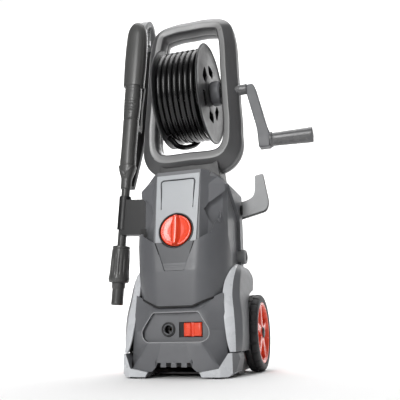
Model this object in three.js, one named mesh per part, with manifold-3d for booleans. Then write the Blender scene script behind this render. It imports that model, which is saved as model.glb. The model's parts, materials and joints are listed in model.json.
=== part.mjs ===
// An upright electric pressure washer: a hollow tower on a two-wheeled base, a closed carrying frame that holds
// a hose reel with a crank, a trigger gun in a side holder, a cord hook, a rotary switch and a hose outlet.
// Millimetres. X runs across the machine, Y from its front to its back, Z up. The machine is drawn about its
// own middle plane, and the whole group is then set down with its origin under the middle of its outer box.
import * as THREE from "three";
import { mergeVertices } from "three/addons/utils/BufferGeometryUtils.js";
import Module from "manifold-3d";

const wasm = await Module();
wasm.setup();

// ---------------------------------------------------------------- driving sizes
const GAP = 0.3; // left between pieces that touch
const WALL = 3; // moulded casings
const RUN = 0.4; // radial clearance of a piece that turns

const tower = {
  half: 111,
  back: 78,
  low: 150,
  shoulder: 428,
  top: 462,
  split: 2,
  channel: 8,
  peak: 427,
  peakY: -68,
};
const wheel = {
  r: 90,
  width: 36,
  inner: tower.half + 6,
  rimR: 72,
  hubR: 17,
  spokes: 5,
  spokeWidth: 17,
  y: 72,
  web: 3,
};
const axle = { r: 6, end: 4 };
const rearLow = wheel.r + 19; // the tower's rear shell ends above the axle
const tray = {
  half: tower.half + 1,
  front: -118,
  back: 96,
  low: 6,
  high: 54,
  floor: 4,
  cheek: 7,
  cheekLong: 60,
};
const apron = { vX: 82, v: 308, tipX: 97, tip: 365, tipY: -104, edge: 246, edgeY: -58, hem: 26 };
const panel = { spread: 5, margin: 7, top: 452, low: 289, thick: 3, lean: 0.142, lowY: -131 };
const knob = { z: 316, r: 36.5, ring: 4.5, dishDepth: 9, proud: 13, stemR: 6, stemLong: 16 };
const dishR = knob.r + knob.ring;
const lowHalf = dishR + panel.margin; // the panel's half width beside the knob
const topHalf = lowHalf + panel.spread;
const insert = { topHalf: lowHalf - 3, lowHalf: 23, low: 224, thick: 2, y: -141.5 };
const bay = {
  topHalf: 52,
  half: 77,
  lowHalf: 62,
  top: 136,
  mid: 97,
  low: 73,
  floorY: -129,
  plate: 3,
};
const port = { x: -18, z: 100, r: 15.5, bore: 9, deep: 24, proud: 2.5 };
const latch = { x: 38, z: 99, wide: 40, tall: 30, proud: 5, travel: 11 };
const vent = { count: 4, pitch: 23, wide: 11, tall: 8, z: 28 };
const foot = {
  half: 62,
  reach: tower.half + 21,
  low: 3.5,
  padIn: 40,
  padY: -133,
  padR: 12,
  stemR: 5,
  stem: 6,
};
const wing = { thick: 4.5, low: 46, back: 82, guard: 8 };
const frame = {
  y: 5,
  wide: 44,
  deep: 74,
  wall: 3.5,
  top: 905,
  low: 508,
  steps: 38,
  lean: 0.06,
  lowGrow: 0.34,
};
const neck = { half: 80, front: -30, back: 42 };
const reel = {
  z: 696,
  y: 5,
  flangeR: 131,
  left: -60,
  right: 50,
  flange: 4.5,
  coreR: 94,
  coreWall: 5,
  axleR: 11,
};
const hose = { r: 7, coilR: 120, loop: 14 };
const swivel = { r: 32, x0: 57, x1: 82 };
const crank = {
  arm: 144,
  hubX: 150,
  thick: 20,
  wide: 29,
  kick: 26,
  gripR: 19,
  gripNeckR: 17,
  gripLong: 101,
  pinR: 5,
};
const hook = {
  y: 51,
  thick: 14,
  root: 44,
  reach: tower.half + 73,
  tip: 480,
  low: 367,
  bossR: 14,
  boss: 6,
  stubR: 6,
  stub: 12,
};
const lance = { x: -tower.half - 77, y: 0, z: 396, tilt: 3.8, r: 11 };
const holder = { half: 44, r: 16, slack: 0.6, bracketDeep: 26 };
const gun = { gripHalf: 29, gripDeep: 22, gripLow: 352, top: 546, barrelHalf: 22, barrelLow: 128 };
const guard = { wide: 26, thick: 18, back: 102, low: 66, peak: 580 };
const nozzle = { top: -86, low: -178, rTop: 22.5, rLow: 26.5, tipLow: -234, tipR: 17, bore: 4 };
const trigger = { y: 44, low: 240, high: 372, thick: 12, wide: 18, pinR: 3 };
const motor = { r: 52, low: 150, high: 318, y: -12, shaftR: 7, fanR: 47, fan: 12 };
const pump = { r: 48, low: 42, mid: 104, high: 147, wall: 5, plateR: 34, plate: 8 };
const inlet = { y: 47, z: 271, r: 18, bore: 11, proud: 11, deep: 12 };

// ---------------------------------------------------------------- finishes
const finish = (color, roughness, metalness = 0) =>
  new THREE.MeshStandardMaterial({ color, roughness, metalness });
const charcoal = finish(0x4b4c4e, 0.5);
const graphite = finish(0x5b5c5f, 0.45);
const silver = finish(0xa7a9ab, 0.4);
const black = finish(0x1b1b1c, 0.6);
const rubber = finish(0x141414, 0.85);
const orange = finish(0xe2442a, 0.4);
const steel = finish(0x9a9c9e, 0.35, 0.9);
const brass = finish(0xb08a45, 0.35, 0.9);
const castAlloy = finish(0x8a8c8e, 0.5, 0.7);

// ---------------------------------------------------------------- solids
// A closed geometry as a manifold solid.
function solid(geometry) {
  const bare = geometry.index ? geometry.toNonIndexed() : geometry.clone();
  for (const name of Object.keys(bare.attributes)) if (name !== "position") bare.deleteAttribute(name);
  const merged = mergeVertices(bare, 1e-4);
  const triVerts = new Uint32Array(merged.index.array);
  const vertProperties = new Float32Array(merged.attributes.position.array);
  return new wasm.Manifold(new wasm.Mesh({ numProp: 3, vertProperties, triVerts }));
}

// A manifold solid as a three.js geometry.
function geometryOf(made) {
  const { vertProperties, triVerts, numProp } = made.getMesh();
  const points = new Float32Array((vertProperties.length / numProp) * 3);
  for (let i = 0; i < points.length / 3; i++)
    points.set(vertProperties.subarray(i * numProp, i * numProp + 3), i * 3);
  return new THREE.BufferGeometry()
    .setAttribute("position", new THREE.BufferAttribute(points, 3))
    .setIndex(new THREE.BufferAttribute(triVerts, 1));
}

const join = (first, ...rest) => rest.reduce((sum, next) => sum.add(next), first);
const cut = (from, ...tools) => tools.reduce((left, tool) => left.subtract(tool), from);

// A box given by its two corners.
function block(x0, y0, z0, x1, y1, z1) {
  const made = new THREE.BoxGeometry(x1 - x0, y1 - y0, z1 - z0);
  return solid(made.translate((x0 + x1) / 2, (y0 + y1) / 2, (z0 + z1) / 2));
}

// A rod between two places on one axis, round or tapered.
function rod(axis, from, to, r, at, sides = 32, rEnd = r) {
  const made = new THREE.CylinderGeometry(rEnd, r, to - from, sides); // lies along Y, r at its low end
  if (axis === "z") made.rotateX(Math.PI / 2);
  if (axis === "x") made.rotateZ(-Math.PI / 2);
  const mid = (from + to) / 2;
  const place = { x: [mid, at[0], at[1]], y: [at[0], mid, at[1]], z: [at[0], at[1], mid] }[axis];
  return solid(made.translate(...place));
}

// A ring or disc turned about one axis from a closed profile of [radius, place along the axis].
function turned(axis, profile, at, sides = 40) {
  const points = [...profile, profile[0]].map(([r, t]) => new THREE.Vector2(r, t));
  const made = new THREE.LatheGeometry(points, sides); // about Y
  if (axis === "z") made.rotateX(Math.PI / 2);
  if (axis === "x") made.rotateZ(-Math.PI / 2);
  const place = { x: [0, at[0], at[1]], y: [at[0], 0, at[1]], z: [at[0], at[1], 0] }[axis];
  const body = solid(made.translate(...place));
  return body.volume() > 0 ? body : solid(flipped(made));
}

// The same faces wound the other way.
function flipped(geometry) {
  const turnedOver = geometry.toNonIndexed();
  const p = turnedOver.attributes.position.array;
  for (let i = 0; i < p.length; i += 9)
    for (let k = 0; k < 3; k++) [p[i + k], p[i + 3 + k]] = [p[i + 3 + k], p[i + k]];
  return turnedOver;
}

const shapeOf = (points) => new THREE.Shape(points.map(([a, b]) => new THREE.Vector2(a, b)));
const extruded = (shape, depth) =>
  new THREE.ExtrudeGeometry(shape, { depth, bevelEnabled: false, curveSegments: 6 });

// An outline in the front view (x, z) carried from y0 to y1.
function fromFront(points, y0, y1) {
  const made = extruded(shapeOf(points), y1 - y0);
  return solid(made.rotateX(Math.PI / 2).translate(0, y1, 0));
}

// An outline in the side view (y, z) carried from x0 to x1.
function fromSide(points, x0, x1) {
  const made = extruded(shapeOf(points), x1 - x0);
  return solid(made.rotateX(Math.PI / 2).rotateZ(Math.PI / 2).translate(x0, 0, 0));
}

// An outline in plan (x, y) carried from z0 to z1.
function fromTop(points, z0, z1) {
  const made = new THREE.ExtrudeGeometry(shapeOf(points), { depth: z1 - z0, bevelEnabled: false });
  return solid(made.translate(0, 0, z0));
}

// A closed skin through rings of points, all with the same count, capped at both ends.
function loft(rings) {
  const count = rings[0].length;
  const points = rings.flat(2);
  const faces = [];
  for (let k = 0; k + 1 < rings.length; k++)
    for (let i = 0; i < count; i++) {
      const [a, b] = [k * count + i, k * count + ((i + 1) % count)];
      faces.push(a, b, b + count, a, b + count, a + count);
    }
  const last = (rings.length - 1) * count;
  for (const [first, ring, order] of [[0, rings[0], [0, 2, 1]], [last, rings.at(-1), [0, 1, 2]]]) {
    const flat = ring.map(([x, y]) => new THREE.Vector2(x, y));
    for (const face of THREE.ShapeUtils.triangulateShape(flat, []))
      faces.push(...order.map((i) => first + face[i]));
  }
  const made = new THREE.BufferGeometry()
    .setAttribute("position", new THREE.BufferAttribute(new Float32Array(points), 3))
    .setIndex(faces);
  const body = solid(made);
  return body.volume() > 0 ? body : solid(flipped(made));
}

// A full ring at height z from its right-hand points, front to back.
const mirroredRing = (right, z) => {
  const left = right.map(([x, y]) => [-x, y]).reverse();
  return [...right, ...left].map(([x, y]) => [x, y, z]);
};
const mirrored = (body) => body.mirror([1, 0, 0]);

// A tube of round section along a curve through points.
function tubeAlong(points, r, steps, sides = 8) {
  const path = new THREE.CatmullRomCurve3(points.map((p) => new THREE.Vector3(...p)));
  const ring = new THREE.Shape().absarc(0, 0, r, 0, 2 * Math.PI, false);
  const options = { steps, extrudePath: path, curveSegments: sides, bevelEnabled: false };
  return solid(new THREE.ExtrudeGeometry(ring, options));
}

// ---------------------------------------------------------------- the machine
const machine = new THREE.Group();
function piece(name, body, material, group = machine) {
  const mesh = new THREE.Mesh(geometryOf(body), material);
  mesh.name = name;
  group.add(mesh);
  return mesh;
}

// The tower's outer skin, as right-hand rings: panel edge, chamfer, facet, side front, side back, rear corner.
// inset moves every point inwards by the wall.
function towerSkin(inset, low = tower.low, high = tower.top) {
  const { half, back, shoulder } = tower;
  const panelY = (z) => panel.lowY - (panel.low - z) * panel.lean + panel.thick + GAP;
  const levels = [
    [tower.low, half - 8, -56],
    [panel.low - 40, half - 1, -62],
    [panel.low, half, -66],
    [shoulder - 54, half, -67],
    [shoulder, half, -66],
    [shoulder + 20, half - 18, -62],
    [tower.top, half - 38, -58],
  ];
  const rings = levels.map(([z, side, sideFront]) => {
    const front = z < panel.low ? panelY(panel.low) + (panel.low - z) * 0.05 : panelY(z);
    const narrow = side / half;
    const right = [
      [topHalf + 1, front],
      [topHalf + 16, front + 17],
      [(half - 7) * narrow, sideFront - 13],
      [side, sideFront],
      [side, back - 12],
      [side - 12, back],
    ];
    const centre = (front + back) / 2;
    const inner = right.map(([x, y]) => [x - inset, y + (y < centre ? inset : -inset)]);
    const level = z === tower.low ? low : z === tower.top ? high : z;
    return mirroredRing(inner, level);
  });
  return loft(rings);
}

// The channel down each side of the tower, in the side view: a skin of the tower removed below a pointed top.
const channelOutline = (grow) => [
  [tower.peakY, tower.peak + grow],
  [apron.tipY - 4 - grow, apron.tip + grow],
  [apron.edgeY - 22 - grow, apron.edge],
  [-46 - grow, tower.low - 6],
  [34 + grow, tower.low - 6],
  [34 + grow, tower.peak - 68],
  [22, tower.peak - 55 + grow],
];
const channel = (grow) => {
  const band = fromSide(channelOutline(grow), 60, tower.half + 20);
  const cutter = cut(band, towerSkin(tower.channel + grow, tower.low - 9));
  return join(cutter, mirrored(cutter));
};

// The apron: the rounded lower front of the tower. Each ring runs from the flat front round to the side.
function apronSkin(inset, extra = 0) {
  const levels = [
    [tower.low - 2 - extra, 36, -139, tower.half - 11],
    [tower.low + 74, 41, -142, tower.half - 1.5],
    [panel.low, 46, -139, tower.half + 1.5],
    [tower.shoulder - 84, 46, -131, tower.half + 2],
    [tower.shoulder - 50 + extra, 46, -126, tower.half + 2],
  ];
  return loft(
    levels.map(([z, flat, front, side]) => {
      const turns = [0, 18, 36, 54, 72, 90];
      const right = turns.map((deg) => {
        const a = (deg * Math.PI) / 180;
        return [flat + (side - flat) * Math.sin(a) - inset, -52 + (front + 52) * Math.cos(a) + inset];
      });
      right.push([side - inset, 0]);
      return mirroredRing(right, z);
    }),
  );
}
// What the apron keeps: in the front view a shallow V above and a hem that rises to the sides, and in the side
// view what lies ahead of a slanting edge. grow moves every boundary outwards.
const hemLine = (grow) => [
  [0, tower.low - 1 - grow],
  [39, tower.low - 1 - grow],
  [tower.half + 30, tower.low - 1 + apron.hem * 1.7 - grow],
];
function apronZone(grow) {
  const v = [
    ...hemLine(grow),
    [tower.half + 30, apron.tip + grow],
    [apron.tipX, apron.tip + grow],
    [apron.vX, apron.v + grow],
    [topHalf - 5, panel.low + grow],
    [0, panel.low + grow],
  ];
  const side = [
    [-200, tower.low - 20],
    [-26 + grow, tower.low - 20],
    [apron.edgeY + grow, apron.edge],
    [apron.tipY + grow, apron.tip + 4],
    [-200, apron.tip + 4],
  ];
  const front = fromFront(v, -200, 60);
  const ahead = fromSide(side, -200, 200);
  return join(front, mirrored(front)).intersect(ahead);
}

// The panel's plane leans back; this turns something built about a vertical plane at y = 0 onto it.
const leanAngle = Math.atan(panel.lean);
const onPanel = (body) =>
  body.rotate([(-leanAngle * 180) / Math.PI, 0, 0]).translate([0, panelFront(knob.z), knob.z]);
function panelFront(z) {
  return panel.lowY - (panel.low - z) * panel.lean;
}

const knobWell = (r) => onPanel(rod("y", -40, 30, r, [0, 0], 48));
const apronHollow = cut(
  apronSkin(0).intersect(apronZone(0)),
  apronSkin(WALL, 5).intersect(apronZone(-WALL)),
  towerSkin(tower.channel + 6, 60),
);
const insertOutline = (grow) => [
  [-insert.topHalf - grow, panel.low + 1],
  [-insert.lowHalf - grow, insert.low - grow],
  [insert.lowHalf + grow, insert.low - grow],
  [insert.topHalf + grow, panel.low + 1],
];

function buildTower() {
  const outer = cut(towerSkin(0, rearLow), channel(0));
  const inner = cut(towerSkin(WALL, rearLow - 5, tower.top - WALL), channel(WALL));
  const shell = cut(outer, inner);
  const portOpening = fromFront(insertOutline(8), -200, -60);
  const frontHalf = cut(
    shell.intersect(block(-200, -200, tower.low, 200, tower.split - GAP / 2, 600)),
    apronSkin(-GAP, 5).intersect(apronZone(GAP)),
    baseCoverSkin(-GAP * 3),
    knobWell(dishR + GAP),
    portOpening,
  );
  piece("tower_front_shell", largest(frontHalf), graphite);
  const louvres = [];
  for (let row = 0; row < 6; row++)
    for (const x of [-52, 52]) louvres.push(block(x - 26, 40, 300 + row * 16, x + 26, 100, 305 + row * 16));
  const rearHalf = cut(
    shell.intersect(block(-200, tower.split + GAP / 2, 0, 200, 200, 600)),
    ...louvres,
    rod("x", tower.half - 30, tower.half + 20, inlet.r + GAP, [inlet.y, inlet.z], 32),
    rod("x", tower.half - 30, tower.half + 20, hook.stubR + RUN, hookPivot, 20),
  );
  piece("tower_rear_shell", largest(rearHalf), graphite);
  const insertSeat = fromFront(insertOutline(GAP), -200, insert.y + insert.thick + GAP);
  piece("front_apron", largest(cut(apronHollow, knobWell(dishR + GAP), insertSeat)), graphite);
}

const hookPivot = [hook.y, hook.low + hook.root / 2];

// The biggest piece of a cut, so that no crumb is left.
function largest(body) {
  return body.decompose().sort((a, b) => b.volume() - a.volume())[0];
}

// The lighter panel above the knob, the chevron insert below it, the knob's dish and the switch behind it.
function buildPanel() {
  const outline = [
    [-topHalf, panel.top],
    [-lowHalf, panel.low + GAP],
    [lowHalf, panel.low + GAP],
    [topHalf, panel.top],
  ];
  const slab = fromSide(
    [
      [panelFront(panel.low), panel.low],
      [panelFront(panel.top + 2), panel.top + 2],
      [panelFront(panel.top + 2) + panel.thick, panel.top + 2],
      [panelFront(panel.low) + panel.thick, panel.low],
    ],
    -100,
    100,
  );
  piece("control_panel", cut(slab.intersect(fromFront(outline, -200, 0)), knobWell(dishR + GAP)), silver);
  const insertSlab = fromFront(insertOutline(-GAP), insert.y, insert.y + insert.thick);
  piece("panel_insert", largest(cut(insertSlab, knobWell(dishR + GAP))), charcoal);

  const dish = turned(
    "y",
    [
      [dishR, -2],
      [dishR, knob.dishDepth + 3],
      [knob.stemR + RUN, knob.dishDepth + 3],
      [knob.stemR + RUN, knob.dishDepth],
      [dishR - 2.5, knob.dishDepth],
      [dishR - 2.5, -2],
    ],
    [0, 0],
    36,
  );
  piece("knob_dish", onPanel(dish), black);
  const cap = turned(
    "y",
    [
      [0, -2],
      [knob.r - 4, -2],
      [knob.r, 1.5],
      [knob.r, knob.dishDepth - 1],
      [0, knob.dishDepth - 1],
    ],
    [0, 0],
    36,
  );
  const ridge = block(-6, -knob.proud, -knob.r + 3, 6, 0, knob.r - 3);
  const stem = rod("y", knob.dishDepth - 2, knob.dishDepth + knob.stemLong, knob.stemR, [0, 0], 20);
  piece("rotary_knob", onPanel(join(cap, ridge, stem)), orange);
  const box = block(-24, knob.dishDepth + 3 + GAP, -28, 24, knob.dishDepth + 42, 28);
  const socket = rod("y", 0, knob.dishDepth + knob.stemLong + 1, knob.stemR + RUN, [0, 0], 20);
  piece("power_switch", onPanel(cut(box, socket)), black);
}

// The base: tray, front cover with the connection bay, bumpers, rubber feet and the side wings over the wheels.
const trayOutline = (grow) => [
  [-tray.half - grow, tray.back + grow],
  [-tray.half - grow, -22],
  [-foot.reach + 8 - grow, -22],
  [-foot.reach + 8 - grow, -84],
  [-88, tray.front - grow],
  [88, tray.front - grow],
  [foot.reach - 8 + grow, -84],
  [foot.reach - 8 + grow, -22],
  [tray.half + grow, -22],
  [tray.half + grow, tray.back + grow],
];
function buildTray() {
  const outer = fromTop(trayOutline(0), tray.low, tray.high);
  const hollow = fromTop(trayOutline(-WALL), tray.low + tray.floor, tray.high + 1);
  const cheeks = [-1, 1].map((side) => {
    const [x0, x1] = [side * tray.half, side * (tray.half - tray.cheek)].sort((a, b) => a - b);
    const y = wheel.y;
    return block(x0, y - tray.cheekLong / 2, tray.high - 10, x1, tray.back, wheel.r + 18);
  });
  const high = wheel.r + 18;
  const backWall = block(-tray.half, tray.back - WALL, tray.high - 10, tray.half, tray.back, high);
  const ledge = block(-tray.half, tower.back + 1, high - WALL, tray.half, tray.back, high);
  const arch = block(-foot.half + 8, -200, -1, foot.half - 8, -92, 22);
  const boreForAxle = rod("x", -200, 200, axle.r + RUN, [wheel.y, wheel.r], 24);
  piece("base_tray", cut(join(cut(outer, hollow), ...cheeks, backWall, ledge), arch, boreForAxle), black);
}

function baseCoverSkin(inset) {
  const levels = [
    [14, 43, -148, 102, -136, 2],
    [bay.low - 5, 29, -147, 60, -145, 4],
    [bay.mid, 29, -145, 78, -138, 5],
    [bay.top + 2, 29, -139, 62, -134, 7],
    [tower.low - 1 - GAP, 29, -132, 58, -129, 10],
    [tower.low + 40, 29, -128, 58, -125, 11],
  ];
  return loft(
    levels.map(([z, x1, y1, x2, y2, inside]) => {
      const side = tower.half - inside;
      const right = [
        [x1 - inset * 0.5, y1 + inset],
        [x2 - inset * 0.5, y2 + inset],
        [side - inset, -112 + inset],
        [side - inset, -56],
      ];
      return mirroredRing(right, z);
    }),
  );
}
const bayOutline = (grow) => [
  [-bay.topHalf - grow, bay.top + grow],
  [-bay.half - grow, bay.mid],
  [-bay.half + 3 - grow, bay.low + 8],
  [-bay.lowHalf, bay.low - grow],
  [bay.lowHalf, bay.low - grow],
  [bay.half - 3 + grow, bay.low + 8],
  [bay.half + grow, bay.mid],
  [bay.topHalf + grow, bay.top + grow],
];

function buildBaseCover() {
  const outer = baseCoverSkin(0);
  const inner = baseCoverSkin(WALL);
  const hollow = inner.translate([0, 0, -WALL]);
  const behind = block(-200, -60, -10, 200, 0, 400);
  const wall = fromFront(bayOutline(WALL), -200, bay.floorY + bay.plate + WALL);
  const shell = cut(outer, cut(hollow, wall));
  const bayCut = fromFront(bayOutline(0), -200, bay.floorY + bay.plate + GAP);
  const through = fromFront(bayOutline(-4), -200, 0);
  const arch = fromFront(
    [
      [-foot.half, 0],
      [-foot.half + 16, 23],
      [foot.half - 16, 23],
      [foot.half, 0],
    ],
    -200,
    0,
  );
  const vents = [];
  for (let i = 0; i < vent.count; i++) {
    const x = (i - (vent.count - 1) / 2) * vent.pitch;
    const [half, low, high] = [vent.wide / 2, vent.z - vent.tall / 2, vent.z + vent.tall / 2];
    vents.push(block(x - half, -200, low, x + half, -135, high));
  }
  const trayRoom = fromTop(trayOutline(GAP), 0, tray.high + GAP);
  const hem = hemLine(GAP * 3);
  const above = fromFront([...hem, [hem.at(-1)[0], 400], [0, 400]], -200, 0);
  const aboveHem = join(above, mirrored(above));
  const cover = cut(shell, behind, bayCut, through, arch, trayRoom, aboveHem, ...vents);
  piece("base_front_cover", largest(cover), graphite);

  const y0 = bay.floorY;
  const plate = fromFront(bayOutline(-GAP), y0, y0 + bay.plate);
  const slotLow = latch.x - latch.wide / 2 - latch.travel - 1;
  const slotTall = latch.tall / 2 + 1;
  const slot = block(slotLow, -200, latch.z - slotTall, latch.x + latch.wide / 2 + 1, 0, latch.z + slotTall);
  const hole = rod("y", -200, 0, port.r + GAP, [port.x, port.z], 32);
  piece("bay_panel", cut(plate, slot, hole), graphite);

  const socket = turned(
    "y",
    [
      [port.r, y0 - port.proud],
      [port.r, y0 + port.deep],
      [port.bore - 5, y0 + port.deep],
      [port.bore - 5, y0 + port.deep - 6],
      [port.bore, y0 + port.deep - 6],
      [port.bore, y0 - port.proud + 2],
      [port.bore + 3, y0 - port.proud],
    ],
    [port.x, port.z],
    24,
  );
  piece("outlet_socket", socket, black);

  const half = latch.wide / 2;
  const button = fromTop(
    [
      [latch.x - half, y0 - latch.proud + 1],
      [latch.x - half, y0 + bay.plate + 2],
      [latch.x + half, y0 + bay.plate + 2],
      [latch.x + half, y0 - latch.proud + 1],
      [latch.x + half - 3, y0 - latch.proud],
      [latch.x + 4, y0 - 1.5],
      [latch.x - 1, y0 - 1.5],
      [latch.x - half + 3, y0 - latch.proud],
    ],
    latch.z - latch.tall / 2,
    latch.z + latch.tall / 2,
  );
  piece("slide_latch", button, orange);
}

function buildFeet() {
  const coverRoom = baseCoverSkin(-GAP);
  const trayRoom = fromTop(trayOutline(GAP), 0, tray.high + GAP);
  const face = [
    [foot.half, foot.low],
    [foot.half - 5, 13],
    [foot.reach - 35, 20],
    [foot.reach - 17, 50],
    [foot.reach - 2, 50],
    [foot.reach, 38],
    [foot.reach - 6, 12],
    [foot.reach - 18, foot.low],
  ];
  const plan = [
    [foot.half - 10, -153],
    [foot.reach - 32, -148],
    [foot.reach - 10, -130],
    [foot.reach + 1, -100],
    [foot.reach + 1, -60],
    [foot.half - 10, -60],
  ];
  const bumper = cut(fromFront(face, -160, -50).intersect(fromTop(plan, 0, 60)), coverRoom, trayRoom);
  const padAt = [foot.reach - foot.padIn, foot.padY];
  const pad = join(
    rod("z", 0, foot.low - GAP, foot.padR, padAt, 24),
    rod("z", 0, foot.low + foot.stem, foot.stemR, padAt, 24),
  );
  const seat = rod("z", 0, foot.low + foot.stem + GAP, foot.stemR + GAP, padAt, 24);
  const withSeat = cut(largest(bumper), seat);
  piece("bumper_right", largest(withSeat), silver);
  piece("bumper_left", largest(mirrored(withSeat)), silver);
  piece("foot_pad_right", pad, rubber);
  piece("foot_pad_left", mirrored(pad), rubber);
}

// A side wing: a bowed skin from the front band round to the side, ending in a fender over the wheel.
function buildWings() {
  // Each level: height, inner edge and its y, outer edge and the corner's y, with x from the tower's side.
  const levels = [
    [wing.low + 6, 5, -124, 22, -92],
    [70, -1, -121, 25, -92],
    [100, -6, -117, 26, -90],
    [135, -10, -112, 24, -86],
    [170, -13, -104, 19, -78],
    [200, -11, -92, 18, -66],
    [225, -5, -74, 17, -48],
    [243, 2.5, -40, 10, -20],
  ];
  const skin = (inset) =>
    loft(
      levels.map(([z, inner, frontY, outer, cornerY]) =>
        [
          [inner, frontY + inset],
          [inner + (outer - inner) * 0.62 - inset * 0.6, frontY + (cornerY - frontY) * 0.28 + inset * 0.9],
          [outer - inset, cornerY],
          [outer - inset, wing.back + 2 - inset],
          [inner - 20, wing.back + 2 - inset],
          [inner - 20, frontY + inset],
        ].map(([x, y]) => [tower.half + x, y, z]),
      ),
    );
  const wheelRoom = rod("x", tower.half - 21, tower.half + 90, wheel.r + wing.guard, [wheel.y, wheel.r], 48);
  const arch = wheel.y - wheel.r - wing.guard;
  const behindWheel = block(tower.half - 21, arch, 0, tower.half + 90, 200, wheel.r);
  const roundTop = fromSide(
    [
      [wing.back - 26, 260],
      [wing.back - 10, 238],
      [wing.back - 1, 226],
      [wing.back + 1, 214],
      [wing.back - 16, 186],
      [wing.back + 60, 150],
      [wing.back + 60, 260],
    ],
    80,
    200,
  );
  const apronRoom = apronSkin(-GAP, 5).intersect(apronZone(GAP));
  const towerRoom = join(towerSkin(-GAP - 0.4, rearLow - 1), baseCoverSkin(-GAP * 5), apronRoom);
  const trayRoom = fromTop(trayOutline(GAP), 0, tray.high + GAP);
  const cheekRoom = block(-200, -22, 0, tray.half + GAP, 200, wheel.r + 40);
  const hollow = skin(wing.thick).translate([-0.5, 0, -2]);
  const made = cut(skin(0), hollow, wheelRoom, behindWheel, roundTop, towerRoom, trayRoom, cheekRoom);
  const right = largest(made);
  piece("side_wing_right", right, silver);
  piece("side_wing_left", mirrored(right), silver);
}

// A wheel between x0 and x0 + width on the right, or its mirror on the left.
function buildWheels() {
  const w = wheel.width;
  const at = [wheel.y, wheel.r];
  const tyre = turned(
    "x",
    [
      [wheel.rimR, wheel.inner + 2],
      [wheel.r - 6, wheel.inner + 1],
      [wheel.r - 1.5, wheel.inner + 5],
      [wheel.r, wheel.inner + 11],
      [wheel.r, wheel.inner + w - 9],
      [wheel.r - 2.5, wheel.inner + w - 3],
      [wheel.r - 8, wheel.inner + w],
      [wheel.rimR, wheel.inner + w - 1],
    ],
    at,
    36,
  );
  const rim = turned(
    "x",
    [
      [wheel.rimR - GAP, wheel.inner + 2],
      [wheel.rimR - GAP, wheel.inner + w - 2],
      [wheel.rimR - 9, wheel.inner + w - 3],
      [wheel.rimR - 12, wheel.inner + w - 10],
      [wheel.rimR - 9, wheel.inner + 2],
    ],
    at,
    36,
  );
  const spokes = [];
  for (let i = 0; i < wheel.spokes; i++) {
    const [near, far] = [wheel.inner + w - 16, wheel.inner + w - 7];
    const half = wheel.spokeWidth / 2;
    const bar = block(near, -half, wheel.hubR - 4, far, half, wheel.rimR - 6);
    spokes.push(bar.rotate([(i * 360) / wheel.spokes, 0, 0]).translate([0, ...at]));
  }
  const hub = rod("x", wheel.inner, wheel.inner + w - 3, wheel.hubR, at, 32);
  const bore = rod("x", wheel.inner - 1, wheel.inner + w + 10, axle.r + RUN, at, 24);
  const capRoom = rod("x", wheel.inner + w - 9, wheel.inner + w + 10, wheel.hubR - 4, at, 32);
  const webAt = wheel.inner + 6;
  const web = rod("x", webAt, webAt + wheel.web, wheel.rimR - 8, at, 36);
  const rimBody = cut(join(rim, hub, web, ...spokes), bore, capRoom);
  const cap = cut(
    turned(
      "x",
      [
        [0, wheel.inner + w - 9 + GAP],
        [wheel.hubR - 4 - GAP, wheel.inner + w - 9 + GAP],
        [wheel.hubR - 4 - GAP, wheel.inner + w - 3],
        [wheel.hubR - 7, wheel.inner + w],
        [0, wheel.inner + w + 1],
      ],
      at,
      32,
    ),
    rod("x", wheel.inner, wheel.inner + w - 3, axle.r + RUN, at, 24),
  );
  for (const [side, turn] of [["right", (b) => b], ["left", mirrored]]) {
    piece("tyre_" + side, turn(tyre), rubber);
    piece("wheel_rim_" + side, turn(rimBody), orange);
    piece("hub_cap_" + side, turn(cap), black);
  }
  const reach = wheel.inner + w - axle.end - 1;
  piece("wheel_axle", rod("x", -reach, reach, axle.r, at, 24), steel);
}

// The carrying frame: a closed loop in the front view, moulded as a front and a rear half.
const frameHalfPath = [
  [0, frame.top],
  [48, frame.top - 1],
  [86, frame.top - 13],
  [98, frame.top - 52],
  [103, reel.z + 56],
  [107, reel.z - 30],
  [110, reel.z - 100],
  [104, frame.low + 30],
  [80, frame.low + 4],
  [0, frame.low],
];
function framePath() {
  const left = frameHalfPath.slice(1, -1).reverse().map(([x, z]) => [-x, z]);
  const points = [...frameHalfPath, ...left].map(([x, z]) => new THREE.Vector3(x, 0, z));
  return new THREE.CatmullRomCurve3(points, true, "centripetal").getSpacedPoints(frame.steps).slice(0, -1);
}
// How far back the leaning frame stands at a height.
const leanAt = (z) => frame.lean * (z - frame.low);
// The section, as [outwards from the loop, y]: an oval.
function frameSection(shrink) {
  const [a, b] = [frame.wide / 2 - shrink, frame.deep / 2 - shrink];
  const oval = [];
  for (let deg = 0; deg < 360; deg += 36) {
    const t = ((deg + 18) * Math.PI) / 180;
    const [c, s] = [Math.cos(t), Math.sin(t)];
    oval.push([a * Math.sign(c) * Math.abs(c) ** 0.72, b * Math.sign(s) * Math.abs(s) ** 0.8]);
  }
  return oval;
}
function sweptLoop(section) {
  const path = framePath();
  const rings = path.map((p, i) => {
    const [before, after] = [path.at(i - 1), path[(i + 1) % path.length]];
    const along = after.clone().sub(before).normalize();
    const out = new THREE.Vector3(-along.z, 0, along.x);
    const grow = 1 + frame.lowGrow * Math.max(0, 1 - (p.z - frame.low) / 70);
    return section.map(([n, y]) => {
      const q = p.clone().addScaledVector(out, n * grow);
      return q.setY(frame.y + y + leanAt(q.z));
    });
  });
  const count = section.length;
  const faces = [];
  for (let k = 0; k < rings.length; k++)
    for (let i = 0; i < count; i++) {
      const [a, b] = [k * count + i, k * count + ((i + 1) % count)];
      const next = ((k + 1) % rings.length) * count;
      const [c, d] = [next + i, next + ((i + 1) % count)];
      faces.push(a, b, d, a, d, c);
    }
  const made = new THREE.BufferGeometry().setFromPoints(rings.flat()).setIndex(faces);
  const body = solid(made);
  return body.volume() > 0 ? body : solid(flipped(made));
}

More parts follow.
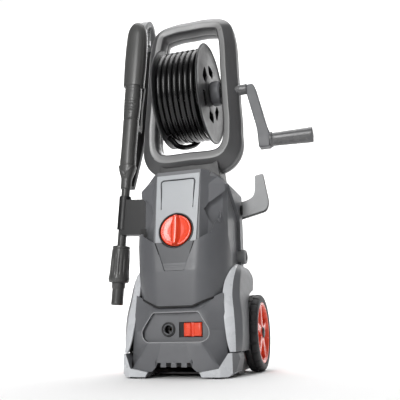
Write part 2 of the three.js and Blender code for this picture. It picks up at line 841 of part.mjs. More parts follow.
function buildFrame() {
  const outer = sweptLoop(frameSection(0));
  const shell = cut(outer, sweptLoop(frameSection(frame.wall)));
  const bore = rod("x", -200, 200, reel.axleR + RUN, [reel.y, reel.z], 32);
  const seam = (y) => frame.y + y + leanAt(0);
  const seamHigh = (y) => frame.y + y + leanAt(1200);
  const half = GAP / 2;
  const ahead = fromSide([[-300, 0], [seam(-half), 0], [seamHigh(-half), 1200], [-300, 1200]], -300, 300);
  const behind = fromSide([[seam(half), 0], [300, 0], [300, 1200], [seamHigh(half), 1200]], -300, 300);
  piece("frame_front_half", largest(cut(shell.intersect(ahead), bore)), charcoal);
  piece("frame_rear_half", largest(cut(shell.intersect(behind), bore)), charcoal);
  const seat = fromFront(
    [
      [-neck.half, tower.top + GAP],
      [neck.half, tower.top + GAP],
      [neck.half - 6, frame.low + 4],
      [-neck.half + 6, frame.low + 4],
    ],
    neck.front,
    neck.back,
  );
  piece("frame_neck", largest(cut(seat, sweptLoop(frameSection(-GAP)))), black);
  const right = cut(
    rod("x", swivel.x0, swivel.x1, swivel.r, [reel.y, reel.z], 32),
    rod("x", 0, 200, reel.axleR + RUN, [reel.y, reel.z], 32),
    sweptLoop(frameSection(-GAP)),
  );
  piece("reel_swivel_housing", largest(right), silver);
}

// The reel: two flanges on a hollow core, an axle through the frame, the crank and the wound hose.
function buildReel() {
  const at = [reel.y, reel.z];
  const flange = (x, out) =>
    turned(
      "x",
      [
        [reel.axleR + GAP, x],
        [reel.flangeR, x],
        [reel.flangeR, x + out * (reel.flange + 1)],
        [reel.flangeR - 5, x + out * (reel.flange + 1)],
        [reel.flangeR - 8, x + out * (reel.flange - 1.5)],
        [52, x + out * (reel.flange - 1.5)],
        [46, x + out * reel.flange],
        [reel.axleR + GAP, x + out * reel.flange],
      ],
      at,
      48,
    );
  const windows = [];
  for (let i = 0; i < 6; i++) {
    const hole = block(0, -15, 54, 200, 15, 74).rotate([i * 60 + 30, 0, 0]).translate([0, ...at]);
    windows.push(hole);
  }
  piece("reel_flange_left", flange(reel.left - GAP, -1), charcoal);
  piece("reel_flange_right", cut(flange(reel.right + GAP, 1), ...windows), charcoal);
  const core = cut(
    rod("x", reel.left, reel.right, reel.coreR, at, 48),
    rod("x", reel.left - 1, reel.right + 1, reel.coreR - reel.coreWall, at, 48),
  );
  piece("reel_core", core, charcoal);
  piece("reel_axle", rod("x", -104, crank.hubX + crank.thick - 4, reel.axleR, at, 32), steel);

  const [x0, x1] = [crank.hubX, crank.hubX + crank.thick];
  const [top, low] = [reel.z + 7, reel.z - crank.arm];
  const armShape = [
    [x0, top],
    [x1 - 4, top + 1],
    [x1 + 2, top - 8],
    [x1 + crank.kick, low + 34],
    [x1 + crank.kick + 6, low + 18],
    [x1 + crank.kick + 6, low - 20],
    [x0 + crank.kick, low - 20],
    [x0 + crank.kick - 3, low + 30],
    [x0 + 1, reel.z - 22],
    [x0, reel.z - 16],
  ];
  const arm = cut(
    fromFront(armShape, reel.y - crank.wide / 2, reel.y + crank.wide / 2),
    rod("x", 0, x1 - 4 + GAP, reel.axleR + GAP, at, 32),
    rod("x", x0, x1 + crank.kick + 20, crank.pinR + GAP, [reel.y, low], 20),
  );
  piece("crank_arm", arm, graphite);
  const gripX = x1 + crank.kick + 6;
  const pin = join(
    rod("x", gripX - 18, gripX + crank.gripLong, crank.pinR, [reel.y, low], 20),
    rod("x", gripX + crank.gripLong - 2, gripX + crank.gripLong + 2, crank.pinR + 4, [reel.y, low], 20),
  );
  piece("grip_pin", pin, steel);
  const grip = turned(
    "x",
    [
      [crank.pinR + RUN, gripX + 0.6],
      [crank.gripR + 1, gripX + 0.6],
      [crank.gripR + 1, gripX + 5],
      [crank.gripNeckR, gripX + 8],
      [crank.gripR, gripX + crank.gripLong],
      [crank.gripR - 2, gripX + crank.gripLong + 4],
      [crank.pinR + 5, gripX + crank.gripLong + 4],
      [crank.pinR + 5, gripX + crank.gripLong - 3],
      [crank.pinR + RUN, gripX + crank.gripLong - 3],
    ],
    [reel.y, low],
    28,
  );
  piece("crank_grip", grip, charcoal);

  const lowR = reel.coreR + GAP;
  const coil = turned(
    "x",
    [
      [lowR, reel.left + GAP],
      [hose.coilR, reel.left + GAP],
      [hose.coilR, reel.right - GAP],
      [lowR, reel.right - GAP],
    ],
    at,
    48,
  );
  piece("hose_coil", coil, black);
  const hang = reel.z - hose.coilR - hose.r - GAP;
  const tail = [
    [-46, reel.y - 26, hang + 1],
    [-38, reel.y - 6, hang - hose.loop / 2],
    [-26, reel.y + 14, hang - hose.loop / 2],
    [-16, reel.y + 34, hang + 1],
    [-8, reel.y + 52, hang + 12],
  ];
  const clear = rod("x", -100, 100, hose.coilR + GAP, at, 56);
  piece("hose_tail", largest(cut(tubeAlong(tail, hose.r - 0.5, 9, 3), clear)), black);
}

// The cord hook: a plate that turns on a stub in the tower's right wall.
function buildHook() {
  const x0 = tower.half + 2;
  const outline = new THREE.Shape();
  outline.moveTo(x0, hook.low);
  outline.lineTo(hook.reach - 25, hook.low + 11);
  outline.quadraticCurveTo(hook.reach + 1, hook.low + 17, hook.reach, hook.low + 38);
  outline.lineTo(hook.reach - 12, hook.tip);
  outline.lineTo(hook.reach - 33, hook.tip - 4);
  outline.lineTo(hook.reach - 35, hook.low + hook.root + 28);
  outline.quadraticCurveTo(hook.reach - 37, hook.low + hook.root + 9, x0 + 16, hook.low + hook.root + 2);
  outline.lineTo(x0, hook.low + hook.root);
  const made = extruded(outline, hook.thick);
  const plate = solid(made.rotateX(Math.PI / 2).translate(0, hook.y + hook.thick / 2, 0));
  const wall = tower.half + GAP;
  const boss = rod("x", wall, wall + hook.boss, hook.bossR, hookPivot, 28);
  const stub = rod("x", wall - hook.stub, wall + hook.boss, hook.stubR, hookPivot, 20);
  piece("cord_hook", join(plate, boss, stub), silver);
}

// The gun and its lance, built upright about the lance's axis and leaned as one group.
const gunGroup = new THREE.Group();
gunGroup.position.set(lance.x, lance.y, lance.z);
gunGroup.rotation.y = (lance.tilt * Math.PI) / 180;
machine.add(gunGroup);
const bodyOf = (levels, sides = 20) =>
  loft(
    levels.map(([z, halfX, halfY, y = 0]) => {
      const ring = [];
      for (let i = 0; i < sides; i++) {
        const t = (2 * Math.PI * (i + 0.5)) / sides;
        const [c, s] = [Math.cos(t), Math.sin(t)];
        const squared = (v) => Math.sign(v) * Math.abs(v) ** 0.8;
        ring.push([halfX * squared(c), y + halfY * squared(s), z]);
      }
      return ring;
    }),
  );

function buildGun() {
  const g = gun;
  const grip = bodyOf([
    [g.gripLow + GAP, g.gripHalf - 2, g.gripDeep - 1],
    [g.gripLow + 8, g.gripHalf - 1, g.gripDeep],
    [g.gripLow + 70, g.gripHalf + 1, g.gripDeep + 1],
    [g.top - 60, g.gripHalf, g.gripDeep],
    [g.top - 20, g.gripHalf - 5, g.gripDeep - 2],
    [g.top - 5, g.gripHalf - 14, g.gripDeep - 8],
    [g.top, g.gripHalf - 20, g.gripDeep - 13],
  ]);
  const barrel = bodyOf([
    [g.barrelLow + GAP, g.barrelHalf - 3, 18],
    [g.barrelLow + 40, g.barrelHalf - 2, 19],
    [g.gripLow - 20, g.barrelHalf, 20],
    [g.gripLow, g.barrelHalf + 1, 20],
  ]);
  // The guard: a strap in the side view, from behind the grip's top down to the collar.
  const line = [
    [g.gripDeep - 6, g.top - 36],
    [g.gripDeep + 18, guard.peak - 16],
    [guard.back - 36, guard.peak],
    [guard.back - 10, guard.peak - 20],
    [guard.back, guard.peak - 70],
    [guard.back - 4, 420],
    [guard.back - 18, 300],
    [guard.back - 40, 190],
    [40, 122],
    [24, guard.low + 8],
  ];
  const path = new THREE.CatmullRomCurve3(line.map(([y, z]) => new THREE.Vector3(0, y, z)));
  const strap = path.getSpacedPoints(26).map((p, i, all) => {
    const along = (all[i + 1] ?? p).clone().sub(all[i - 1] ?? p).normalize();
    return [p, new THREE.Vector3(0, along.z, -along.y)];
  });
  const rings = strap.map(([p, n]) =>
    [[-1, -1], [1, -1], [1, 1], [-1, 1]].map(([a, b]) => {
      const q = p.clone().addScaledVector(n, (b * guard.thick) / 2);
      return [(a * guard.wide) / 2, q.y, q.z];
    }),
  );
  const guardBody = cut(
    strapThrough(rings),
    bodyOf([
      [g.gripLow - 2, g.gripHalf + 2, g.gripDeep + 1 + GAP],
      [g.top - 20, g.gripHalf + 2, g.gripDeep + 1 + GAP],
      [g.top + 4, g.gripHalf + 2, g.gripDeep - 4],
    ]),
    bodyOf([
      [guard.low - 30, 26, 13 + GAP],
      [g.barrelLow, 26, 19 + GAP],
      [g.gripLow, 26, 21 + GAP],
    ]),
  );
  piece("gun_grip", grip, charcoal, gunGroup);
  const pinAt = [26, trigger.low + 3];
  const ear = block(-13, 14, trigger.low - 5, -6, 33, trigger.low + 11);
  const pinHole = rod("x", -30, 30, trigger.pinR + GAP, pinAt, 16);
  piece("gun_barrel_housing", cut(join(barrel, ear, mirrored(ear)), pinHole), charcoal, gunGroup);
  const guardOnly = largest(guardBody);
  // The hose inlet hangs from the top of the guard, its neck let into the strap.
  const inletAt = [0, guard.back - 34];
  const inletLow = guard.peak - 66;
  const inletHigh = guard.peak - guard.thick / 2 + 3;
  const nipple = cut(
    join(rod("z", inletLow, inletHigh, 7.5, inletAt, 20), rod("z", inletLow, inletLow + 16, 10, inletAt, 6)),
    rod("z", inletLow - 1, inletLow + 12, 4, inletAt, 16),
  );
  const inletRoom = join(
    rod("z", inletLow - 2, inletHigh + GAP, 7.5 + GAP, inletAt, 20),
    rod("z", inletLow - 2, inletLow + 18, 10.5, inletAt, 20),
  );
  piece("gun_guard", largest(cut(guardOnly, inletRoom)), black, gunGroup);
  piece("gun_inlet", nipple, steel, gunGroup);

  const collar = cut(
    bodyOf([
      [guard.low - 2, 13, 13],
      [guard.low + 28, 14, 14],
      [guard.low + 34, 17, 17],
      [g.barrelLow - 10, 22, 19],
      [g.barrelLow, 22.5, 19],
    ]),
    rod("z", guard.low - 10, g.barrelLow + 10, lance.r + GAP, [0, 0], 24),
  );
  piece("lance_collar", cut(collar, guardOnly), black, gunGroup);
  const tube = cut(
    rod("z", nozzle.low + 20, g.barrelLow - GAP, lance.r, [0, 0], 24),
    rod("z", nozzle.low, g.barrelLow + 2, nozzle.bore, [0, 0], 16),
  );
  piece("lance_tube", tube, charcoal, gunGroup);
  const sleeveHigh = nozzle.top;
  const sleeve = turned(
    "z",
    [
      [lance.r + RUN, sleeveHigh],
      [nozzle.rTop - 1, sleeveHigh],
      [nozzle.rTop, sleeveHigh - 3],
      [nozzle.rTop + 0.5, sleeveHigh - 12],
      [nozzle.rTop + 1.5, nozzle.low + 24],
      [nozzle.rLow, nozzle.low + 8],
      [nozzle.rLow - 3, nozzle.low],
      [nozzle.tipR + 1, nozzle.low],
      [nozzle.tipR + 1, nozzle.low + 18],
      [lance.r + RUN, nozzle.low + 18],
    ],
    [0, 0],
    24,
  );
  piece("nozzle_sleeve", sleeve, black, gunGroup);
  const tip = turned(
    "z",
    [
      [nozzle.bore, nozzle.low + 17],
      [nozzle.tipR - 2, nozzle.low + 17],
      [nozzle.tipR, nozzle.low + 10],
      [nozzle.tipR, nozzle.low - 14],
      [nozzle.tipR - 2, nozzle.low - 16],
      [nozzle.tipR - 2.5, nozzle.tipLow],
      [nozzle.bore + 3, nozzle.tipLow],
      [nozzle.bore, nozzle.tipLow + 6],
    ],
    [0, 0],
    28,
  );
  piece("nozzle_tip", tip, charcoal, gunGroup);

  const lever = fromSide(
    [
      [trigger.y - 2, trigger.low],
      [trigger.y + 8, trigger.low - 4],
      [trigger.y + trigger.thick, trigger.low + 6],
      [trigger.y + trigger.thick - 5, (trigger.low + trigger.high) / 2],
      [trigger.y + trigger.thick + 3, trigger.high],
      [trigger.y + trigger.thick - 5, trigger.high + 5],
      [trigger.y - 3, (trigger.low + trigger.high) / 2],
    ],
    -trigger.wide / 2,
    trigger.wide / 2,
  );
  const root = block(-5, 12, trigger.low - 3, 5, trigger.y + 4, trigger.low + 9);
  const leverBody = cut(join(lever, root), rod("x", -30, 30, trigger.pinR + RUN, pinAt, 16), barrelRoom());
  piece("trigger_lever", largest(leverBody), black, gunGroup);
  piece("trigger_pin", rod("x", -13, 13, trigger.pinR, pinAt, 16), steel, gunGroup);
}
// What the barrel housing fills, with a gap round it.
const barrelRoom = () =>
  bodyOf([
    [gun.barrelLow, gun.barrelHalf + 2, 20 + GAP],
    [gun.gripLow, gun.barrelHalf + 2, 20 + GAP + 0.5],
  ]);

// A closed strap through rings that need not be level, each with four points.
function strapThrough(rings) {
  const points = rings.flat(2);
  const faces = [0, 2, 1, 0, 3, 2];
  for (let k = 0; k + 1 < rings.length; k++)
    for (let i = 0; i < 4; i++) {
      const [a, b] = [k * 4 + i, k * 4 + ((i + 1) % 4)];
      faces.push(a, b, b + 4, a, b + 4, a + 4);
    }
  const last = (rings.length - 1) * 4;
  faces.push(last, last + 1, last + 2, last, last + 2, last + 3);
  const made = new THREE.BufferGeometry()
    .setAttribute("position", new THREE.BufferAttribute(new Float32Array(points), 3))
    .setIndex(faces);
  const body = solid(made);
  return body.volume() > 0 ? body : solid(flipped(made));
}

// The holder on the tower's left: a trough open to the outside, on a bracket.
function buildHolder() {
  const lean = (body) => body.rotate([0, lance.tilt, 0]).translate([lance.x, lance.y, lance.z]);
  const inner = lance.r + holder.slack;
  const trough = cut(
    rod("z", -holder.half, holder.half, holder.r, [0, 0], 32),
    rod("z", -holder.half - 1, holder.half + 1, inner, [0, 0], 32),
    block(-60, -inner, -holder.half - 1, 0, inner, holder.half + 1),
  );
  const deep = holder.bracketDeep / 2;
  const arm = block(0, -deep, -holder.half - 14, 90, deep, holder.half - 10);
  const clearance = rod("z", -holder.half - 30, holder.half + 1, inner, [0, 0], 32);
  const openSide = block(-60, -inner, -holder.half - 30, 0, inner, holder.half + 1);
  const held = lean(cut(join(trough, arm), clearance, openSide));
  const body = cut(held, towerSkin(-GAP), apronSkin(-GAP, 5).intersect(apronZone(GAP)));
  const trimmed = body.intersect(block(-300, -100, 0, -tower.half + tower.channel + 4, 100, 600));
  piece("lance_holder", largest(trimmed), black);
}

// Motor, pump and plumbing inside the tower.
function buildInside() {
  const at = [0, motor.y];
  const can = cut(
    rod("z", motor.low, motor.high, motor.r, at, 32),
    rod("z", motor.low - 1, motor.high + 1, motor.shaftR + RUN, at, 20),
  );
  piece("motor", can, castAlloy);
  const gearcase = turned(
    "z",
    [
      [motor.shaftR + RUN, pump.high],
      [pump.r, pump.high],
      [pump.r, pump.mid + GAP],
      [pump.r - pump.wall, pump.mid + GAP],
      [pump.r - pump.wall, pump.high - pump.wall],
      [motor.shaftR + RUN, pump.high - pump.wall],
    ],
    at,
    32,
  );
  piece("pump_gearcase", gearcase, castAlloy);
  const head = cut(
    join(rod("z", pump.low, pump.mid, pump.r - 4, at, 32), block(-34, -86, 62, 34, motor.y, 98)),
    rod("y", -90, -60, port.bore - 3, [port.x, port.z - 20], 20),
  );
  piece("pump_head", head, castAlloy);
  const plateZ = (pump.mid + pump.high) / 2 - 4;
  const plate = rod("z", -pump.plate / 2, pump.plate / 2, pump.plateR, [0, 0], 28).rotate([8, 0, 0]);
  const boredPlate = cut(plate.translate([0, motor.y, plateZ]), rod("z", 90, 200, motor.shaftR + GAP, at, 20));
  piece("swash_plate", boredPlate, steel);
  const shaftLow = pump.mid + 6;
  piece("motor_shaft", rod("z", shaftLow, motor.high + 24, motor.shaftR, at, 20), steel);
  const blades = [];
  for (let i = 0; i < 7; i++) {
    const blade = block(12, -1.2, 0, motor.fanR, 1.2, motor.fan).rotate([0, 0, (i * 360) / 7]);
    blades.push(blade.translate([0, motor.y, motor.high + 6]));
  }
  const fanDisc = rod("z", motor.high + 6, motor.high + 9, motor.fanR, at, 32);
  const fanHub = rod("z", motor.high + 6, motor.high + 6 + motor.fan, 14, at, 24);
  const fanBore = rod("z", motor.high, motor.high + 60, motor.shaftR + GAP, at, 20);
  piece("cooling_fan", cut(join(fanDisc, fanHub, ...blades), fanBore), black);

  const pipe = [
    [port.x, bay.floorY + port.deep + GAP + 0.4, port.z],
    [port.x, bay.floorY + port.deep + 8, port.z - 4],
    [port.x, -92, port.z - 16],
    [port.x, -87, port.z - 20],
  ];
  piece("outlet_pipe", tubeAlong(pipe, 4, 6, 3), brass);
  const x0 = tower.half - inlet.deep;
  const spigot = turned(
    "x",
    [
      [inlet.bore, x0],
      [inlet.r, x0],
      [inlet.r, tower.half + inlet.proud - 3],
      [inlet.r - 3, tower.half + inlet.proud],
      [inlet.bore, tower.half + inlet.proud],
    ],
    [inlet.y, inlet.z],
    32,
  );
  piece("water_inlet", spigot, silver);
  const feed = [
    [x0 - 7.5, inlet.y, inlet.z],
    [x0 - 16, inlet.y - 2, inlet.z - 16],
    [x0 - 26, inlet.y - 6, 180],
    [66, 34, 120],
    [52, 6, 84],
    [47, -2, 78],
  ];
  const headRoom = rod("z", 0, pump.mid, pump.r - 4 + GAP, at, 32);
  const inletRoom = rod("x", x0 - GAP, 200, inlet.r + 2, [inlet.y, inlet.z], 32);
  const feedBody = cut(tubeAlong(feed, 7, 12, 3), headRoom, inletRoom);
  piece("inlet_hose", largest(feedBody), rubber);
}

buildTray();
buildBaseCover();
buildFeet();
buildWings();
buildTower();
buildPanel();
buildWheels();
buildFrame();
buildReel();
buildHook();
buildHolder();
buildGun();
buildInside();

// Set the machine down: origin on the floor under the middle of its outer box.
machine.updateMatrixWorld(true);
const outer = new THREE.Box3().setFromObject(machine, true);
const centre = outer.getCenter(new THREE.Vector3());
machine.position.set(-centre.x, -centre.y, -outer.min.z);

export default machine;
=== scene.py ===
"""The looks of an upright pressure washer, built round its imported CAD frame.

Shapes are drawn in the machine's own millimetres: X across with 0 in the middle plane, Y from front to
back, Z up from the floor. to_frame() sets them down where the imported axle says, in metres.
"""

import json
import math

import bmesh
import bpy
import numpy as np
from mathutils import Matrix, Vector

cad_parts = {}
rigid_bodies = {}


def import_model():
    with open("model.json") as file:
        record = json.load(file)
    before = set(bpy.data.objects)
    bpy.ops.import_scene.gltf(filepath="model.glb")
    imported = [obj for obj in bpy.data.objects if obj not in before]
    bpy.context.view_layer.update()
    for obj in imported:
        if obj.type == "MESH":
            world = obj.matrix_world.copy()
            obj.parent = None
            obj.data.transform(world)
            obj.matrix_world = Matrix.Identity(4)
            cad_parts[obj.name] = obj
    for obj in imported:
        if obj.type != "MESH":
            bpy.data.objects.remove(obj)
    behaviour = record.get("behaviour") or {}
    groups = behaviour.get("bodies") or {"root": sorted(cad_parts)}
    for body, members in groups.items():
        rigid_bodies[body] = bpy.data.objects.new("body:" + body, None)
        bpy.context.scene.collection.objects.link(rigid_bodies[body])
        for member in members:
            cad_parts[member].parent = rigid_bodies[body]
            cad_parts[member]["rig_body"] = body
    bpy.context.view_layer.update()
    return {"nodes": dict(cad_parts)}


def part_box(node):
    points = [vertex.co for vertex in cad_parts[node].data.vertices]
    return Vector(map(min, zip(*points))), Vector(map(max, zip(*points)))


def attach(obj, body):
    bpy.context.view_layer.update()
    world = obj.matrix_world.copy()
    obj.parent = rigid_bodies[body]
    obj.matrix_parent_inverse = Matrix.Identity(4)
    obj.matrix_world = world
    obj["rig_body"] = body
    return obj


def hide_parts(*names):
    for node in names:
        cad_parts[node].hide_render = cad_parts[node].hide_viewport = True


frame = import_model()
axle_low, axle_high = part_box("wheel_axle")
WHEEL = (72, 90)
ORIGIN = (np.array(axle_low) + np.array(axle_high)) / 2 - np.array([0, *WHEEL]) * 0.001


def to_frame(points):
    """Machine millimetres to metres in the shared frame: a thousandth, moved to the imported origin."""
    return np.asarray(points, float) * 0.001 + ORIGIN


# ---------------------------------------------------------------- camera
def set_camera():
    """A camera low on the machine's right, turned left by its yaw, tipped up by its pitch, then rolled."""
    yaw, pitch, roll = np.radians([17.0, 13.8, -1.1])
    right = np.array([math.cos(yaw), math.sin(yaw), 0])
    ahead = np.array([-math.sin(yaw), math.cos(yaw), 0])
    up = np.array([0, 0, 1.0])
    sight = ahead * math.cos(pitch) + up * math.sin(pitch)
    above = up * math.cos(pitch) - ahead * math.sin(pitch)
    across = right * math.cos(roll) + above * math.sin(roll)
    top = above * math.cos(roll) - right * math.sin(roll)
    data = bpy.data.cameras.new("studio_camera")
    data.lens, data.sensor_width = 48.44, 36
    data.clip_start, data.clip_end = 0.05, 60
    camera = bpy.data.objects.new("studio_camera", data)
    bpy.context.scene.collection.objects.link(camera)
    turn = Matrix(np.column_stack([across, top, -sight]).tolist())
    camera.matrix_world = Matrix.Translation(Vector(to_frame([401, -1249, 93]))) @ turn.to_4x4()
    bpy.context.scene.camera = camera


set_camera()


# ---------------------------------------------------------------- lines
def spline(points, count, closed=False):
    """A centripetal cubic through points of any dimension, at even steps along its length."""
    p = np.asarray(points, float)
    if not closed:
        p = np.vstack([2 * p[0] - p[1], p, 2 * p[-1] - p[-2]])
    p0, p1, p2, p3 = (np.roll(p, k, 0) for k in (1, 0, -1, -2))
    if not closed:
        p0, p1, p2, p3 = p[:-3], p[1:-2], p[2:-1], p[3:]

    def root(a, b):
        return np.sqrt(np.linalg.norm(b - a, axis=1, keepdims=True)) + 1e-9

    d0, d1, d2 = root(p0, p1), root(p1, p2), root(p2, p3)
    m1 = ((p1 - p0) / d0 - (p2 - p0) / (d0 + d1) + (p2 - p1) / d1) * d1
    m2 = ((p2 - p1) / d1 - (p3 - p1) / (d1 + d2) + (p3 - p2) / d2) * d1
    t = np.linspace(0, 1, 48, endpoint=False)[None, :, None]
    a, b, c, d = 2 * t**3 - 3 * t**2 + 1, t**3 - 2 * t**2 + t, -2 * t**3 + 3 * t**2, t**3 - t**2
    dense = (a * p1[:, None] + b * m1[:, None] + c * p2[:, None] + d * m2[:, None]).reshape(-1, p.shape[1])
    dense = np.vstack([dense, dense[:1] if closed else p2[-1:]])
    return evenly(dense, count, closed)


def evenly(line, count, closed=False):
    """count points at equal distances along a polyline."""
    gone = np.concatenate([[0], np.cumsum(np.linalg.norm(np.diff(line, axis=0), axis=1))])
    at = np.linspace(0, gone[-1], count, endpoint=not closed)
    return np.column_stack([np.interp(at, gone, line[:, k]) for k in range(line.shape[1])])


def eased(corners, radius, steps=5, closed=True):
    """Rounds corners: each becomes a quadratic arc between the points radius before and after it."""
    c = np.asarray(corners, float)
    before, after = np.roll(c, 1, 0) - c, np.roll(c, -1, 0) - c
    lb = np.linalg.norm(before, axis=1, keepdims=True) + 1e-9
    la = np.linalg.norm(after, axis=1, keepdims=True) + 1e-9
    r = np.broadcast_to(np.asarray(radius, float), len(c))[:, None]
    a, b = c + before / lb * np.minimum(r, lb * 0.48), c + after / la * np.minimum(r, la * 0.48)
    t = np.linspace(0, 1, steps)[None, :, None]
    arcs = (1 - t) ** 2 * a[:, None] + 2 * t * (1 - t) * c[:, None] + t**2 * b[:, None]
    if closed:
        return arcs.reshape(-1, c.shape[1])
    return np.vstack([c[:1], arcs[1:-1].reshape(-1, c.shape[1]), c[-1:]])


# ---------------------------------------------------------------- surfaces
def quads(rows, cols, ring=False, loop=False, start=0):
    """The faces of a grid counted row by row. ring joins the last column to the first, loop the last row."""
    r, c = np.meshgrid(np.arange(rows - (not loop)), np.arange(cols - (not ring)), indexing="ij")
    r2, c2 = (r + 1) % rows, (c + 1) % cols
    corners = [r * cols + c, r * cols + c2, r2 * cols + c2, r2 * cols + c]
    return (np.stack(corners, -1).reshape(-1, 4) + start).tolist()


class Skin:
    """Grids and flat caps gathered into one mesh."""

    def __init__(self):
        self.points, self.faces, self.count = [], [], 0

    def grid(self, points, ring=False, loop=False):
        rows, cols = points.shape[:2]
        self.faces += quads(rows, cols, ring, loop, self.count)
        return self._add(points.reshape(-1, 3))

    def cap(self, outline):
        """One flat face on a closed outline."""
        self.faces.append(list(range(self.count, self.count + len(outline))))
        return self._add(np.asarray(outline, float))

    def _add(self, points):
        self.points.append(points)
        self.count += len(points)
        return self

    def mirrored(self):
        """Adds the same surface on the other side of the middle plane."""
        n = self.count
        self.points.append(np.concatenate(self.points) * [-1, 1, 1])
        self.faces += [[i + n for i in face[::-1]] for face in self.faces]
        self.count = 2 * n
        return self


def turned(profile, axis, at, sides=96, loop=False):
    """A surface of revolution: each [radius, place] goes round the axis that passes through at."""
    r, t = np.asarray(profile, float).T
    a = np.linspace(0, 2 * math.pi, sides, endpoint=False)
    c, s = r[:, None] * np.cos(a), r[:, None] * np.sin(a)
    along = np.broadcast_to(t[:, None], c.shape)
    order = {
        "x": (along, c + at[0], s + at[1]), "y": (c + at[0], along, s + at[1]),
        "z": (c + at[0], s + at[1], along),
    }
    return np.stack(order[axis], -1)


def prism(skin, outline, near, far, axis="y"):
    """A plate: a closed outline carried from near to far along an axis, with a flat face at each end."""
    o = np.asarray(outline, float)

    def at(place):
        depth = np.full(len(o), float(place))
        parts = {
            "x": (depth, o[:, 0], o[:, 1]), "y": (o[:, 0], depth, o[:, 1]), "z": (o[:, 0], o[:, 1], depth),
        }
        return np.stack(parts[axis], -1)

    a, b = at(near), at(far)
    skin.grid(np.stack([a, b]), ring=True)
    skin.cap(a)
    skin.cap(b[::-1])
    return skin


def tube(path, radius, sides=16):
    """A round tube: at each point of the path a circle stands across the path's direction there."""
    p = np.asarray(path, float)
    along = np.gradient(p, axis=0)
    along /= np.linalg.norm(along, axis=1, keepdims=True)
    aside = np.cross(along, [0.31, 0.2, 0.93])
    aside /= np.linalg.norm(aside, axis=1, keepdims=True)
    over = np.cross(along, aside)
    a = np.linspace(0, 2 * math.pi, sides, endpoint=False)[None, :, None]
    r = np.broadcast_to(np.asarray(radius, float), len(p))[:, None, None]
    return p[:, None] + r * (np.cos(a) * aside[:, None] + np.sin(a) * over[:, None])


def closed_ends(grid):
    """The same grid with a point in the middle of its first and its last ring: both ends are closed."""
    first, last = grid[:1].mean(1, keepdims=True), grid[-1:].mean(1, keepdims=True)
    shape = (1, grid.shape[1], 3)
    return np.concatenate([np.broadcast_to(first, shape), grid, np.broadcast_to(last, shape)])


def lathe(profile, axis, at, sides, radius, steps=3, closed=True):
    """A turned skin whose profile has its corners rounded first."""
    return Skin().grid(
        turned(eased(profile, radius, steps, closed), axis, at, sides), ring=True, loop=closed,
    )


def cable(path, radius, sides):
    """A round strand along a path, closed at both ends."""
    return Skin().grid(closed_ends(tube(path, radius, sides)), ring=True)


def make(name, skin, body, finish, slot, nodes=(), sharp=32, **looks):
    """Makes a skin a piece: doubles merged, faces outwards, then shading, wall, eased edges and finish."""
    mesh = bpy.data.meshes.new(name)
    mesh.from_pydata(to_frame(np.concatenate(skin.points)).tolist(), [], skin.faces)
    work = bmesh.new()
    work.from_mesh(mesh)
    bmesh.ops.remove_doubles(work, verts=work.verts, dist=2e-5)
    bmesh.ops.dissolve_degenerate(work, edges=work.edges, dist=1e-6)
    bmesh.ops.recalc_face_normals(work, faces=work.faces)
    work.to_mesh(mesh)
    work.free()
    return dress(name, mesh, body, finish, slot, nodes, sharp, **looks)


def dress(name, mesh, body, finish, slot, nodes, sharp, wall=0.0, edge=0.0, edge_angle=35, steps=2):
    """The last steps of every piece: shading, modifiers, finish, and what it rides on and stands for."""
    mesh.shade_smooth()
    mesh.set_sharp_from_angle(angle=math.radians(sharp))
    mesh.materials.clear()
    mesh.materials.append(finish)
    piece = bpy.data.objects.new(name, mesh)
    bpy.context.scene.collection.objects.link(piece)
    if wall:
        thick = piece.modifiers.new("wall", "SOLIDIFY")
        thick.thickness, thick.offset = wall * 0.001, -1
    if edge:
        bevel = piece.modifiers.new("eased_edges", "BEVEL")
        bevel.width, bevel.segments = edge * 0.001, steps
        bevel.limit_method, bevel.angle_limit = "ANGLE", math.radians(edge_angle)
        bevel.use_clamp_overlap = True
        flat = piece.modifiers.new("flat_faces", "WEIGHTED_NORMAL")
        flat.keep_sharp, flat.weight = False, 60
    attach(piece, body)
    if nodes:
        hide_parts(*([nodes] if isinstance(nodes, str) else nodes))
    return piece


def softened(node, name, finish, slot, edge=1.0, flat=1.5, sharp=12, sides=None):
    """A merged copy of a CAD node, with flat neighbours joined into one face and its edges eased."""
    source = frame["nodes"][node]
    mesh = source.data.copy()
    work = bmesh.new()
    work.from_mesh(mesh)
    bmesh.ops.remove_doubles(work, verts=work.verts, dist=2e-5)
    bmesh.ops.dissolve_limit(work, angle_limit=math.radians(flat), verts=work.verts, edges=work.edges)
    work.to_mesh(mesh)
    work.free()
    piece = dress(name, mesh, source["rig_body"], finish, slot, node, sharp, edge=edge, edge_angle=14)
    if sides:
        second_finish(mesh, *sides)
    return piece


def second_finish(mesh, finish, chosen):
    """Gives another finish to the faces that chosen(normals, middles in machine millimetres) picks out."""
    mesh.materials.append(finish)
    normals = np.array([face.normal for face in mesh.polygons])
    middles = np.array([face.center for face in mesh.polygons])
    picked = chosen(normals, (middles - ORIGIN) * 1000)
    mesh.polygons.foreach_set("material_index", picked.astype(int))


# ---------------------------------------------------------------- finishes
def shade(*rgb):
    """A display colour, 0 to 255, as the linear colour that a shader takes."""
    c = np.array(rgb) / 255
    return (*np.where(c <= 0.04045, c / 12.92, ((c + 0.055) / 1.055) ** 2.4), 1)


